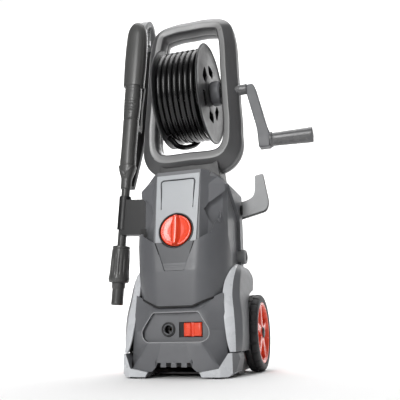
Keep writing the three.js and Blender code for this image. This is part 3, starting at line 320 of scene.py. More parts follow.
def finish_of(name, colour, rough, grain=1600, depth=0.00006, cloud=0.05, metal=0.0, coat=0.0, streak=None):
    """A finish on Object coordinates: clouded colour, uneven roughness, and a fine grain as bump."""
    made = bpy.data.materials.new(name)
    made.use_nodes = True
    made.diffuse_color = shade(*colour)
    nodes, links = made.node_tree.nodes, made.node_tree.links
    shader = nodes["Principled BSDF"]
    shader.inputs["Metallic"].default_value = metal
    shader.inputs["Coat Weight"].default_value = coat
    shader.inputs["Coat Roughness"].default_value = 0.12
    where = nodes.new("ShaderNodeTexCoord")
    stretch = nodes.new("ShaderNodeMapping")
    stretch.inputs["Scale"].default_value = streak or (1, 1, 1)
    links.new(where.outputs["Object"], stretch.inputs["Vector"])

    def noise(scale, detail):
        made_noise = nodes.new("ShaderNodeTexNoise")
        made_noise.inputs["Scale"].default_value = scale
        made_noise.inputs["Detail"].default_value = detail
        links.new(stretch.outputs["Vector"], made_noise.inputs["Vector"])
        return made_noise.outputs["Fac"]

    def ranged(value, low, high):
        spread = nodes.new("ShaderNodeMapRange")
        spread.inputs["From Min"].default_value, spread.inputs["From Max"].default_value = 0.3, 0.7
        spread.inputs["To Min"].default_value, spread.inputs["To Max"].default_value = low, high
        links.new(value, spread.inputs["Value"])
        return spread.outputs["Result"]

    tint = nodes.new("ShaderNodeMix")
    tint.data_type = "RGBA"
    linear = np.array(shade(*colour))
    tint.inputs["A"].default_value = (*(linear[:3] * (1 - cloud)), 1)
    tint.inputs["B"].default_value = (*np.minimum(linear[:3] * (1 + cloud), 1), 1)
    links.new(ranged(noise(18, 3), 0, 1), tint.inputs["Factor"])
    links.new(tint.outputs["Result"], shader.inputs["Base Color"])
    links.new(ranged(noise(55, 4), rough - 0.035, rough + 0.035), shader.inputs["Roughness"])
    bump = nodes.new("ShaderNodeBump")
    bump.inputs["Distance"].default_value = depth
    bump.inputs["Strength"].default_value = 0.7
    links.new(noise(grain, 2), bump.inputs["Height"])
    links.new(bump.outputs["Normal"], shader.inputs["Normal"])
    return made


body_grey = finish_of("body_grey_plastic", (98, 99, 102), 0.40)
apron_grey = finish_of("apron_grey_plastic", (90, 91, 94), 0.36)
# lighter grey for the bay's rim bead, so that it shows a light line: painted highlight
bead_painted_highlight_grey = finish_of("bead_painted_highlight_grey_plastic", (150, 151, 153), 0.30)
insert_grey = finish_of("insert_grey_plastic", (78, 79, 82), 0.42)
frame_grey = finish_of("frame_grey_plastic", (76, 76, 77), 0.34, grain=1300, depth=0.00008)
# a lighter copy of the frame's grey for its front-facing faces: painted highlight
band_painted_highlight = finish_of("frame_band_painted_highlight_plastic", (132, 132, 132), 0.30, grain=1300, depth=0.00008)
flange_grey = finish_of("flange_grey_plastic", (52, 52, 53), 0.40, grain=1300, depth=0.00008)
gun_grey = finish_of("gun_grey_plastic", (70, 70, 69), 0.34)
panel_silver = finish_of("panel_silver_plastic", (163, 166, 169), 0.34, cloud=0.03)
wing_silver = finish_of("wing_silver_plastic", (192, 194, 197), 0.28, cloud=0.03)
hook_silver = finish_of("hook_silver_plastic", (136, 137, 138), 0.40, cloud=0.03)
black_plastic = finish_of("black_plastic", (20, 20, 21), 0.42)
# near-black for strands and plates put in gaps, grooves and slots where shade falls: painted shade
painted_shade_black = finish_of("painted_shade_black_plastic", (10, 10, 11), 0.6)
orange_gloss = finish_of("orange_plastic", (232, 70, 36), 0.26, depth=0.00002, cloud=0.03, coat=0.3)
hose_black = finish_of("hose_rubber", (9, 9, 10), 0.24, grain=900, depth=0.00004)
tyre_black = finish_of("tyre_rubber", (30, 30, 32), 0.58, grain=900, depth=0.00015)
grip_grey = finish_of("grip_grey_plastic", (92, 92, 93), 0.26)
steel = finish_of("bright_steel", (170, 171, 172), 0.28, metal=1.0, streak=(1, 1, 20))
brass = finish_of("turned_brass", (190, 150, 80), 0.30, metal=1.0)
cast = finish_of("cast_alloy", (150, 151, 152), 0.55, grain=500, depth=0.0003, metal=0.8)


# ---------------------------------------------------------------- carrying frame
frame_half = [
    (0, 905), (48, 904), (86, 892), (98, 853), (103, 752), (107, 666), (110, 596), (104, 538), (80, 512),
    (0, 508),
]
frame_line = frame_half + [(-x, z) for x, z in frame_half[-2:0:-1]]
FRAME_Y, FRAME_LOW = 5, 508
FRAME_LEAN = 0.06  # back for each unit of height
FRAME_GROW = 0.34  # how much wider the section is at the foot


def frame_loop(section):
    """The frame's section [outwards, y] carried round its closed line: line + outwards normal * n, depth y.

    The outward part grows towards the foot, and the loop leans back with its height.
    """
    line = spline(frame_line, 260, closed=True)
    along = np.roll(line, -1, 0) - np.roll(line, 1, 0)
    along /= np.linalg.norm(along, axis=1, keepdims=True)
    out = np.column_stack([-along[:, 1], along[:, 0]])
    s = np.asarray(section, float)
    grow = 1 + FRAME_GROW * np.maximum(0, 1 - (line[:, 1:] - FRAME_LOW) / 70)
    x = line[:, :1] + out[:, :1] * s[:, 0] * grow
    z = line[:, 1:] + out[:, 1:] * s[:, 0] * grow
    y = FRAME_Y + s[:, 1] + FRAME_LEAN * (z - FRAME_LOW)
    return np.stack([x, y, z], -1)


def frame_halves():
    """Front half: inner wall, flat bevel, crisp ridge, round outside; the faces that look straight ahead get
    a lighter finish, a painted highlight. Rear half: a plain oval.
    """
    front = [
        (21.5, -0.3), (22, -1.2), (22, -9), (20.8, -14), (17, -19.5), (8, -28), (0.5, -34.6), (-1.8, -36.2),
    ]
    front += [
        (-3.0, -36.9), (-4.4, -37), (-10, -35.6), (-16.2, -33.8), (-18.2, -32.6), (-19.4, -30.2),
        (-21.2, -22),
    ]
    front += [(-22, -10), (-22, -2), (-21.5, -0.3)]
    rear = [
        (21.5, 0.3), (22, 1.2), (22, 12), (21, 21), (18, 28.5), (12.5, 34), (4, 36.8), (-5, 36.6),
        (-13, 33.6), (-18.5, 27),
    ]
    rear += [(-21.2, 18), (-22, 9), (-22, 2), (-21.5, 0.3)]
    ahead = Skin().grid(frame_loop(front), ring=True, loop=True)
    behind = Skin().grid(frame_loop(rear), ring=True, loop=True)
    moulding = make(
        "frame_front_moulding", ahead, "chassis", frame_grey, "frame_plastic", "frame_front_half", sharp=24,
    )
    # the faces that look straight ahead get the lighter grey: painted highlight
    second_finish(moulding.data, band_painted_highlight, lambda normals, middles: normals[:, 1] < -0.92)
    make("frame_rear_moulding", behind, "chassis", frame_grey, "frame_plastic", "frame_rear_half", sharp=40)


frame_halves()
softened("frame_neck", "frame_seat", black_plastic, "body_plastic", 2.0)


# ---------------------------------------------------------------- hose reel
REEL = (5, 696)
HOSE_R = 7.0
COIL_R = 120


def wound_hose(layers, pitch, radius, low):
    """The hose as a helix: turns lie a pitch apart, and each layer winds back over the one below it."""
    lines = []
    for k, (turn_radius, turns) in enumerate(layers):
        a = np.linspace(0, 2 * math.pi * turns, int(turns * 72) + 1)
        x = low + radius + 0.4 + pitch * a / (2 * math.pi)
        x = x if k % 2 == 0 else x[::-1]
        y, z = REEL[0] + turn_radius * np.cos(a), REEL[1] + turn_radius * np.sin(a)
        lines.append(np.column_stack([x, y, z]))
    return lines


def hose_parts():
    """The wound hose, and its loose end that passes under the coil and goes up behind it."""
    skin = Skin()
    for line in wound_hose([(101.2, 6.6), (113.3, 6.7)], 14.15, HOSE_R, -59.6):
        skin.grid(closed_ends(tube(line, HOSE_R, 14)), ring=True)
    make("wound_hose", skin, "reel", hose_black, "hose_rubber", "hose_coil", sharp=60)
    hang = REEL[1] - COIL_R - HOSE_R
    tail = [
        (-50, -30, hang + 8), (-45, -18, hang + 2.5), (-38, -4, hang - 6.5), (-26, 14, hang - 6.5),
        (-16, 34, hang + 1), (-8, 52, hang + 11), (-2, 66, hang + 24),
    ]
    loose = cable(spline(tail, 60), HOSE_R, 18)
    make("hose_loose_end", loose, "reel", hose_black, "hose_rubber", "hose_tail", sharp=60)


def spokes(right):
    """Six spokes between windows: a plate 3.1 thick that narrows midway between the radii 50 and 76."""
    for k in range(6):
        mid = math.radians(k * 60)
        a = mid + np.radians(np.linspace(-13, 13, 7))
        r = np.linspace(50, 76, 5)[:, None]
        spread = 1 + 0.12 * np.cos(np.linspace(-math.pi, math.pi, 5))[:, None]
        turn = mid + (a - mid) / spread
        face = np.stack([np.full((5, 7), 53.4), REEL[0] + r * np.cos(turn), REEL[1] + r * np.sin(turn)], -1)
        back = face - [3.1, 0, 0]
        right.grid(face).grid(back[:, ::-1])
        for column in (0, -1):
            right.grid(np.stack([face[:, column], back[:, column]]))


def reel_parts():
    """Both flanges, the drum between them, the swivel housing at the hub and the spindle through it all."""
    rim = [
        (95, 50.3), (124.5, 50.3), (129, 50.5), (131, 51.8), (131, 54.4), (129.6, 55.8), (126.5, 55.8),
        (123.4, 53.6), (108, 52.9), (80, 53.2), (76, 53.4),
    ]
    web = [(50, 53.4), (46, 54.6), (30, 55.2), (12, 55.4), (11.4, 54.8), (11.4, 50.6), (50, 50.4)]
    right = lathe(rim, "x", REEL, 144, 0.8, closed=False)
    spokes(right)
    right.grid(turned(eased(web, 0.8, 3, False), "x", REEL, 144), ring=True)
    for strip in ([(76, 53.4), (76, 50.3)], [(50, 50.4), (50, 53.4)], [(76, 50.3), (95, 50.3)]):
        right.grid(turned(strip, "x", REEL, 144), ring=True)
    make("right_flange", right, "reel", flange_grey, "frame_plastic", "reel_flange_right", sharp=28)
    left = [
        (11.4, -60.3), (95, -60.3), (129, -60.5), (131, -61.8), (131, -64.4), (129.6, -65.8), (125, -65.8),
        (122, -63.6), (54, -63.2), (47, -64.8), (11.4, -64.8),
    ]
    make(
        "left_flange", lathe(left, "x", REEL, 144, 0.8), "reel", flange_grey, "frame_plastic",
        "reel_flange_left", sharp=28,
    )
    drum = [(94, -60), (94, 50), (89, 50), (89, -60)]
    core = Skin().grid(turned(drum, "x", REEL, 120), ring=True, loop=True)
    make("drum", core, "reel", black_plastic, "frame_plastic", "reel_core")
    housing = [(12, 57), (29, 57), (32, 60), (32, 79), (29, 82), (12, 82)]
    swivel = lathe(housing, "x", REEL, 72, 2, 4)
    make("swivel_housing", swivel, "chassis", body_grey, "silver_plastic", "reel_swivel_housing", sharp=30)
    axle = [
        (0, -104), (10.4, -104), (11, -103), (11, 126), (14.2, 127), (14.2, 129.5), (13.6, 131),
        (13.6, 147), (14.2, 149.6), (11, 149.9), (11, 165), (10, 166), (0, 166),
    ]
    spindle = lathe(axle, "x", REEL, 56, 0.5, closed=False)
    make("reel_spindle", spindle, "reel", grip_grey, "frame_plastic", "reel_axle")


hose_parts()
reel_parts()


def crank_parts():
    """The crank arm as a plate with eased edges, and a turned grip that swells to its open end."""
    outline = [
        (150, 703), (166, 704), (172, 695), (197, 586), (203, 570), (203, 532), (175, 532), (172, 582),
        (150.4, 674), (150, 680),
    ]
    radii = [3, 6, 8, 14, 8, 4, 4, 14, 10, 3]
    arm = prism(Skin(), eased(outline, radii, 6), -8.5, 18.5)
    make("crank_lever", arm, "reel", insert_grey, "body_plastic", "crank_arm", edge=2.4, steps=3)
    pin = (REEL[0], REEL[1] - 144)
    grip = [
        (5.6, 202.7), (20, 202.7), (20.2, 204), (20.2, 206.5), (19.2, 208), (17.2, 210), (17.1, 214),
        (18.2, 262), (19.2, 303.6), (19.2, 305.1), (17.2, 306.9), (10.2, 306.9), (10, 300.4), (5.6, 300.4),
    ]
    handgrip = lathe(grip, "x", pin, 72, 0.7, 4)
    make("crank_handgrip", handgrip, "grip", grip_grey, "frame_plastic", "crank_grip", sharp=34)


crank_parts()


# ---------------------------------------------------------------- tower, apron, panel
PANEL_LEAN = 0.142  # back for each unit of height
KNOB_Z = 316
NOTCH_R = 41.6


def lean_y(z):
    """The panel's plane: 131 ahead of the axis at height 289, and leaning back above that."""
    return -131 + (np.asarray(z, float) - 289) * PANEL_LEAN


softened("tower_front_shell", "tower_front", body_grey, "body_plastic", 1.6)
softened("tower_rear_shell", "tower_back", body_grey, "body_plastic", 1.6)


def level_lerp(z, levels):
    """The other numbers of a table of levels at each height z, taken straight between its rows."""
    t = np.asarray(levels, float)
    return [np.interp(z, t[:, 0], t[:, k]) for k in range(1, t.shape[1])]


def apron_half(tip):
    """Columns run from the middle to the slanting side edge, rows from the hem to the V line or the tip.

    At height z and turn a the skin stands at x = flat + (side - flat) sin a, y = -52 + (front + 52) cos a.
    Columns bunch at the insert's slanting sides, where the middle drops back into a shallow seat.
    """
    levels = [
        (140, 36, -139, 100), (224, 41, -142, 109.5), (289, 46, -139, 112.5), (344, 46, -131, 113),
        (380, 46, -126, 113),
    ]

    def chevron(z):
        return np.interp(z, [224, 289], [23, 45])

    def hem(x):
        return np.interp(np.abs(x), [0, 39, 141], [149, 149, 193])

    def vee(x):
        base = np.interp(np.abs(x), [0, 48, 82, 97], [289, 289, 308, 365])
        inside = np.abs(x) < 31.2
        ring = KNOB_Z - np.sqrt(np.maximum(NOTCH_R**2 - np.minimum(np.abs(x), 31.2) ** 2, 0))
        return np.minimum(np.where(inside, np.minimum(ring, base), base), tip)

    def edge_y(z):
        return np.interp(z, [130, 246, 369], [-26, -58, -104])

    inner = np.array([0, 0.2, 0.4, 0.6, 0.693, 0.78, 0.9, 0.975, 1.0])
    outer = np.concatenate([[0.012], np.linspace(0.04, 1, 30)])
    u = np.concatenate([inner, 1 + outer])[None, :]
    v = np.concatenate([np.linspace(0, 1, 12)[:-1], [1.0, 1.018], 1 + np.linspace(0.05, 1, 20)])[:, None]
    x = np.zeros((v.shape[0], u.shape[1])) + 40 * u
    z = 150 + 140 * v / 2 + 0 * x

    def point(z):
        flat, front, side = level_lerp(z, levels)
        edge = edge_y(z)
        ratio = np.clip((edge + 52) / (front + 52), -1, 1)
        stop = np.where(edge < -52, np.arccos(ratio), math.pi / 2)
        spare = np.maximum(edge + 52, 0)
        chev = chevron(z)
        w = np.clip(u - 1, 0, 1)
        straight = flat - chev
        arc = stop * (side - flat + 40) / 1.6
        total = straight + arc + spare
        run = w * total
        turn = np.clip((run - straight) / np.maximum(arc, 1e-6), 0, 1) * stop
        beyond = np.maximum(run - straight - arc, 0)
        on_flat = chev + np.minimum(run, straight)
        x = np.where(u <= 1, u * chev, on_flat + (side - flat) * np.sin(turn))
        y = np.where(u <= 1, front, -52 + (front + 52) * np.cos(turn)) + beyond
        return x, y

    for _ in range(12):
        x, _y = point(z)
        low, high = hem(x), vee(x)
        split = 224 + 0 * x
        z = np.where(v <= 1, low + (split - low) * v, split + (high - split) * (v - 1))
    x, y = point(z)
    seat = (u <= 0.98) & (v >= 1.01)
    y = y + np.where(seat, 2.6, 0)
    return np.stack([x, y, z], -1)


def apron_surface():
    """Both halves side by side. The left one stops under the lance clip's arm, at height 315."""
    right, left = apron_half(365), apron_half(315)
    return np.concatenate([left[:, ::-1] * [-1, 1, 1], right[:, 1:]], 1)


def apron_parts():
    """The apron as a thin wall, and a dark round strip along its lowest row: painted shade of the step under
    it.
    """
    surface = apron_surface()
    looks = {"sharp": 38, "wall": 2.6, "edge": 0.9, "edge_angle": 50}
    make("apron", Skin().grid(surface), "chassis", apron_grey, "body_plastic", "front_apron", **looks)
    # painted shade: a near-black strand where the hem's shadow gap falls
    strip = cable(surface[0] + [0, 0.6, -1.9], 2.3, 10)
    make("apron_hem_painted_shade", strip, "chassis", painted_shade_black, "black_plastic", sharp=60)


def side_slit_painted_shades():
    """Dark strips behind the slits beside the apron's shoulders and between the wings and the cover: painted
    shade in those gaps.
    """
    strips = Skin()
    for side in (-1, 1):
        outline = [(side * 87, 288), (side * 101, 288), (side * 101, 332), (side * 87, 332)]
        prism(strips, outline, -93, -90)
        prism(strips, [(side * 104, 44), (side * 129, 44), (side * 129, 86), (side * 104, 86)], -84, -81)
    # these near-black plates are painted shade where the slits show dark
    make("slit_painted_shade_plates", strips, "chassis", painted_shade_black, "black_plastic")


apron_parts()
side_slit_painted_shades()


def panel_width(z):
    """Half the panel's width at a height: 48 at its foot, 53 at its top."""
    return np.interp(z, [289, 452], [48, 53])


def on_lean(line, sink=0.0):
    """Points [x, z] put on the panel's plane, and sunk into it."""
    line = np.asarray(line, float)
    return np.column_stack([line[:, 0], lean_y(line[:, 1]) + sink, line[:, 1]])


def panel_piece():
    """The panel: a rim round a sunk groove, an inner plate, and a foot with a round notch for the knob.

    The groove follows one rounded outline. Its depth and width fade to nothing from height 420 down to 366.
    """
    seat = eased([(-43.5, 441), (-38, 362), (38, 362), (43.5, 441)], [10, 4, 4, 10], 8)
    seat = evenly(np.vstack([seat, seat[:1]]), 200, True)
    centre = np.array([0, 396.0])
    rays = seat - centre
    rise = np.where(rays[:, 1] > 0, 56.0, 37.5) / np.maximum(np.abs(rays[:, 1]), 1e-6)
    reach = panel_width(seat[:, 1]) / np.maximum(np.abs(rays[:, 0]), 1e-6)
    rim = centre + rays * np.minimum(reach, rise)[:, None]
    rim[:, 0] = np.clip(rim[:, 0], -panel_width(rim[:, 1]), panel_width(rim[:, 1]))
    fade = np.clip((seat[:, 1] - 366) / 54, 0, 1)
    away = rays / np.linalg.norm(rays, axis=1, keepdims=True)

    def ring(inwards, sink):
        return on_lean(seat - away * (inwards * (0.15 + 0.85 * fade))[:, None], sink * fade)

    skin = Skin()
    skin.grid(
        np.stack([on_lean(rim), ring(0.0, 0.0), ring(0.35, 2.6), ring(3.3, 2.6), ring(3.8, -0.2)]),
        ring=True,
    )
    skin.grid(np.stack([ring(3.8, -0.2), ring(4.6, -0.5), ring(9, -0.5)]), ring=True)
    skin.cap(ring(9, -0.5))
    skin.grid(np.stack([on_lean(rim), on_lean(rim, 3)]), ring=True)
    skin.cap(on_lean(rim, 3)[::-1])
    heights = np.linspace(358.5, 289.4, 30)
    inner = np.sqrt(np.maximum(NOTCH_R**2 - (heights - KNOB_Z) ** 2, 0))
    t = np.linspace(0, 1, 6)[None, :]
    x = inner[:, None] * (1 - t) + panel_width(heights)[:, None] * t
    z = np.broadcast_to(heights[:, None], x.shape)
    flank = np.stack([x, lean_y(z), z], -1)
    back = flank + [0, 3, 0]
    for side in (-1, 1):
        skin.grid(flank * [side, 1, 1]).grid(back * [side, 1, 1])
        for near, far in ((flank[:, 0], back[:, 0]), (flank[:, -1], back[:, -1]), (flank[-1], back[-1])):
            skin.grid(np.stack([near, far]) * [side, 1, 1])
    make("silver_panel", skin, "chassis", panel_silver, "silver_plastic", "control_panel", sharp=30)
    # a dark strand lies in the groove from one faded end over the top to the other: painted shade of the
    # groove
    lowest = int(np.argmin(seat[:, 1] + np.abs(seat[:, 0]) * 0.01))
    order = np.roll(np.arange(len(seat)), -lowest)
    bed = ring(1.9, 2.2)[order[fade[order] > 0.02]]
    make("panel_groove_painted_shade", cable(bed, 1.0, 8), "chassis", painted_shade_black, "black_plastic", sharp=60)


panel_piece()


def insert_piece():
    """The insert below the knob: a plate with a round notch, two fine ribs, and a dark strand at its rim,
    painted shade of the gap.
    """
    a = np.radians(np.linspace(-139, -41, 25))
    notch = np.column_stack([41.9 * np.cos(a), KNOB_Z + 41.9 * np.sin(a)])
    corners = np.vstack([[(-44.4, 288.7)], notch, [(44.4, 288.7), (22.6, 225.2), (-22.6, 225.2)]])
    plate = prism(Skin(), corners, -138.6, -136.4)
    for height in (232, 236):
        half = 23.6 + (height - 224) * 0.34
        line = np.column_stack([np.linspace(-half, half, 9), np.full(9, -138.7), np.full(9, height)])
        plate.grid(closed_ends(tube(line, 0.55, 8)), ring=True)
    make("chevron_insert", plate, "chassis", insert_grey, "frame_plastic", "panel_insert", edge=0.3)
    edge_line = eased([(-45.6, 288), (-23.2, 224.2), (23.2, 224.2), (45.6, 288)], 3, 4, False)
    path = evenly(edge_line, 60)
    bed = np.column_stack([path[:, 0], np.full(60, -139.4), path[:, 1]])
    # painted shade along the insert's rim
    make("insert_rim_painted_shade", cable(bed, 1.0, 8), "chassis", painted_shade_black, "black_plastic", sharp=60)


insert_piece()


# ---------------------------------------------------------------- rotary switch
def on_panel(points):
    """Turns something built about a plane at y = 0 onto the leaning panel at the knob's height."""
    lean = -math.atan(PANEL_LEAN)
    c, s = math.cos(lean), math.sin(lean)
    p = np.asarray(points, float)
    x, y, z = p[..., 0], p[..., 1], p[..., 2]
    return np.stack([x, c * y - s * z + lean_y(KNOB_Z), s * y + c * z + KNOB_Z], -1)


def knob_parts():
    """A dark well, a dished disc with a rolled rim, and a grip bar whose flanks flare into the disc."""
    dish = [(41, -2), (41, 12), (6.5, 12), (6.5, 9), (37.2, 9), (37.9, 7), (38.2, -1.2), (38.9, -2)]
    well = Skin().grid(on_panel(turned(eased(dish, 0.5, 3), "y", (0, 0), 120)), ring=True, loop=True)
    make("switch_well", well, "chassis", black_plastic, "black_plastic", "knob_dish")
    disc = [
        (0, -1.2), (20, -1.6), (29, -2.6), (33, -3.6), (35.4, -3.1), (36.5, -1), (36.5, 7), (35.5, 8),
        (0, 8),
    ]
    knob = Skin().grid(on_panel(turned(eased(disc, 1.2, 4, False), "y", (0, 0), 120)), ring=True)
    x = np.array([-15, -11, -8, -6.2, -5.2, -4, 0, 4, 5.2, 6.2, 8, 11, 15])
    rise = np.array([-2, 1.6, 6.4, 10, 11.4, 11.9, 12, 11.9, 11.4, 10, 6.4, 1.6, -2])
    z = np.concatenate([[-34.6, -34.2, -33], np.linspace(-31, 31, 9), [33, 34.2, 34.6]])
    swell = np.concatenate([[0, 0.72, 0.93], np.ones(9), [0.93, 0.72, 0]])
    narrow = 1 - 0.35 * (np.abs(z) / 34.6) ** 2
    proud = np.maximum(rise[None] * swell[:, None], -1.5) + 1
    bar = np.stack([x[None] * narrow[:, None], -proud, z[:, None] + 0 * x[None]], -1)
    knob.grid(on_panel(bar))
    base = bar[:, [0, -1]].copy()
    base[..., 1] = 2
    for column, foot in ((0, 0), (-1, 1)):
        knob.grid(on_panel(np.stack([bar[:, column], base[:, foot]])))
    knob.grid(on_panel(base))
    looks = {"sharp": 34, "edge": 0.5, "edge_angle": 40}
    make("rotary_switch_knob", knob, "knob", orange_gloss, "orange_plastic", "rotary_knob", **looks)


knob_parts()


# ---------------------------------------------------------------- base
cover_levels = [
    (14, 43, -148, 102, -136, 109), (68, 29, -147, 60, -145, 107), (97, 29, -145, 78, -138, 106),
    (138, 29, -139, 62, -134, 104),
]
cover_levels += [(148.7, 29, -132, 58, -129, 101), (190, 29, -128, 58, -125, 100)]


def cover_y(x, z):
    """The cover's front: straight from the middle flat to a crease, then straight to the side edge."""
    x1, y1, x2, y2, side = level_lerp(z, cover_levels)
    a = np.abs(x)
    first = y1 + (y2 - y1) * np.clip((a - x1) / (x2 - x1), 0, 1)
    return first + (-112 - y2) * np.clip((a - x2) / (side - x2), 0, 1)


def cover_side(z):
    return level_lerp(z, cover_levels)[4]


BAY = [(-52, 136), (-77, 97), (-74, 81), (-62, 73), (62, 73), (74, 81), (77, 97), (52, 136)]
BAY_FLOOR = -129


def base_cover():
    """A fan of strips: each key point of the bay's rim is joined to one on the cover's outer edge."""
    def hem(x):
        return np.interp(x, [0, 39, 141], [148.1, 148.1, 192.1])

    rim = [
        (0, 136), (30, 136), (48, 136), (50.6, 135.3), (53.4, 133.5), (64, 117), (74.6, 101), (76.6, 97),
        (76.9, 93), (74.4, 83), (72.6, 79.4), (66, 74.6), (62, 73.2), (57, 73), (40, 73), (29, 73),
        (23, 73), (17, 73), (6, 73), (0, 73),
    ]
    s = 103.2
    edge = [
        (0, 148.1), (39, 148.1), (58, hem(58)), (66, hem(66)), (78, hem(78)), (s - 1.5, hem(s)),
        (105.6, 112), (106, 97), (106.4, 88), (107.2, 62), (108, 40), (108.9, 20), (102, 14), (78, 14),
        (50, 14), (40.2, 23), (40, 32), (29, 32), (6, 32), (0, 32),
    ]
    rim, edge = np.array(rim, float), np.array(edge, float)
    edge[:, 0] = np.where((edge[:, 0] > 100) & (edge[:, 1] > 15), cover_side(edge[:, 1]), edge[:, 0])
    fine = np.linspace(0, len(rim) - 1, (len(rim) - 1) * 3 + 1)
    index = np.arange(len(rim))
    a = np.column_stack([np.interp(fine, index, rim[:, k]) for k in (0, 1)])
    b = np.column_stack([np.interp(fine, index, edge[:, k]) for k in (0, 1)])
    t = np.array([0, 0.04, 0.12, 0.3, 0.5, 0.75, 1])[:, None, None]
    xz = a * (1 - t) + b * t
    front = np.stack([xz[..., 0], cover_y(xz[..., 0], xz[..., 1]), xz[..., 1]], -1)
    skin = Skin().grid(front)
    lip = front[0]
    floor = lip.copy()
    floor[:, 1] = BAY_FLOOR + 2.9
    skin.grid(np.stack([lip, (lip + floor) / 2, floor]))
    # between and beside the vents, down to the arch
    for x0, x1, z0, z1 in [(0, 6, 23, 32), (17, 29, 23, 32), (40, 46, 23, 32)]:
        x = np.linspace(x0, x1, 3)[None] + np.zeros((3, 1))
        z = np.linspace(z0, z1, 3)[:, None] + 0 * x
        x = np.where((x > 45) & (z < 30), 46 + 0 * x, x)
        if x0 == 40:
            x = x0 + (x - x0) * np.where(z > 27, 0.02, 1)
        skin.grid(np.stack([x, cover_y(x, z), z], -1))
    z = np.linspace(14, hem(101), 16)
    y = np.linspace(-112, -58, 8)
    side = np.stack([cover_side(z)[:, None] + 0 * y, y + 0 * z[:, None], z[:, None] + 0 * y], -1)
    skin.grid(side)
    skin.mirrored()
    looks = {"sharp": 9, "wall": 2.4, "edge": 1.1, "edge_angle": 24}
    make("base_cover", skin, "chassis", body_grey, "body_plastic", "base_front_cover", **looks)


base_cover()


def bay_parts():
    """The bay's plate, the round outlet with its ring, and the sliding latch with its valley."""
    softened("bay_panel", "bay_back_plate", body_grey, "body_plastic", 0.4)
    bead = eased([(x, z) for x, z in BAY], [4, 9, 7, 6, 6, 7, 9, 4], 6)
    bead = evenly(np.vstack([bead, bead[:1]]), 220, True)
    line = np.column_stack([bead[:, 0], cover_y(bead[:, 0], bead[:, 1]) + 0.3, bead[:, 1]])
    ring = tube(np.vstack([line[-2:], line, line[:2]]), 1.15, 10)[2:-2]
    # a real bead on the rim, coloured lighter as a painted highlight
    make("bay_rim_bead_painted_highlight", Skin().grid(ring, ring=True, loop=True), "chassis", bead_painted_highlight_grey, "body_plastic")
    socket = [
        (15.5, -126), (15.5, -131), (14.8, -131.5), (12.6, -131.5), (11.6, -129.6), (11, -125), (9, -124.6),
        (9, -111), (4, -111), (4, -105), (15.5, -105),
    ]
    at = (-18, 100)
    make(
        "outlet_ring", lathe(socket, "y", at, 72, 0.5), "chassis", black_plastic, "black_plastic",
        "outlet_socket",
    )
    ring = [(11.6, -131.4), (11.6, -129), (8.6, -128.4), (8.6, -130.6), (9.6, -131.4)]
    make("outlet_collar", lathe(ring, "y", at, 64, 0.4), "chassis", insert_grey, "body_plastic")
    # a near-black plate behind the latch's slot: painted shade in the slot
    well = Skin()
    prism(well, eased([(4, 81), (61, 81), (61, 117), (4, 117)], 2, 4), BAY_FLOOR + 3.1, BAY_FLOOR + 5)
    make("latch_slot_painted_shade", well, "chassis", painted_shade_black, "black_plastic")
    z = np.array([84.6, 85.2, 86.4, 99, 111.6, 112.8, 113.4])
    lift = np.array([0.0, 0.75, 1, 1, 1, 0.75, 0.0])
    x = np.array([18, 18.5, 20, 24, 31.4, 33.4, 34.2, 39.4, 40.4, 42.2, 52, 56, 57.5, 58])
    out = np.array([0, 3.6, 4.8, 5.0, 5.0, 4.4, 0.2, 0.2, 2.6, 4.6, 5.0, 4.8, 3.6, 0])
    y = BAY_FLOOR - out[None] * lift[:, None]
    top = np.stack([x[None] + 0 * y, y, z[:, None] + 0 * y], -1)
    latch = Skin().grid(top)
    foot = top.copy()
    foot[..., 1] = BAY_FLOOR + 2
    latch.grid(np.stack([top[0], foot[0]])).grid(np.stack([top[-1], foot[-1]]))
    latch.grid(np.stack([top[:, 0], foot[:, 0]])).grid(np.stack([top[:, -1], foot[:, -1]])).grid(foot)
    make("latch_slider", latch, "latch", orange_gloss, "orange_plastic", "slide_latch", sharp=40)


bay_parts()


def turned_aside(normals, middles):
    """The faces of a bumper that look sideways or stand behind its corner."""
    return (np.abs(normals[:, 0]) > 0.75) | (middles[:, 1] > -96)


for word in ("right", "left"):
    two_tone = (body_grey, turned_aside)
    softened(f"bumper_{word}", f"corner_bumper_{word}", wing_silver, "silver_plastic", 1.8, sides=two_tone)
softened("base_tray", "floor_tray", black_plastic, "black_plastic", 1.2)


# ---------------------------------------------------------------- side wings
ARCH_R = 98
wing_levels = [
    (52, 116, -124, 133, -92), (70, 110, -121, 136, -92), (100, 105, -117, 137, -90),
    (135, 101, -112, 135, -86),
]
wing_levels += [
    (170, 98, -104, 130, -78), (200, 100, -92, 129, -66), (225, 106, -74, 128, -48),
    (243, 113.5, -40, 121, -20),
]


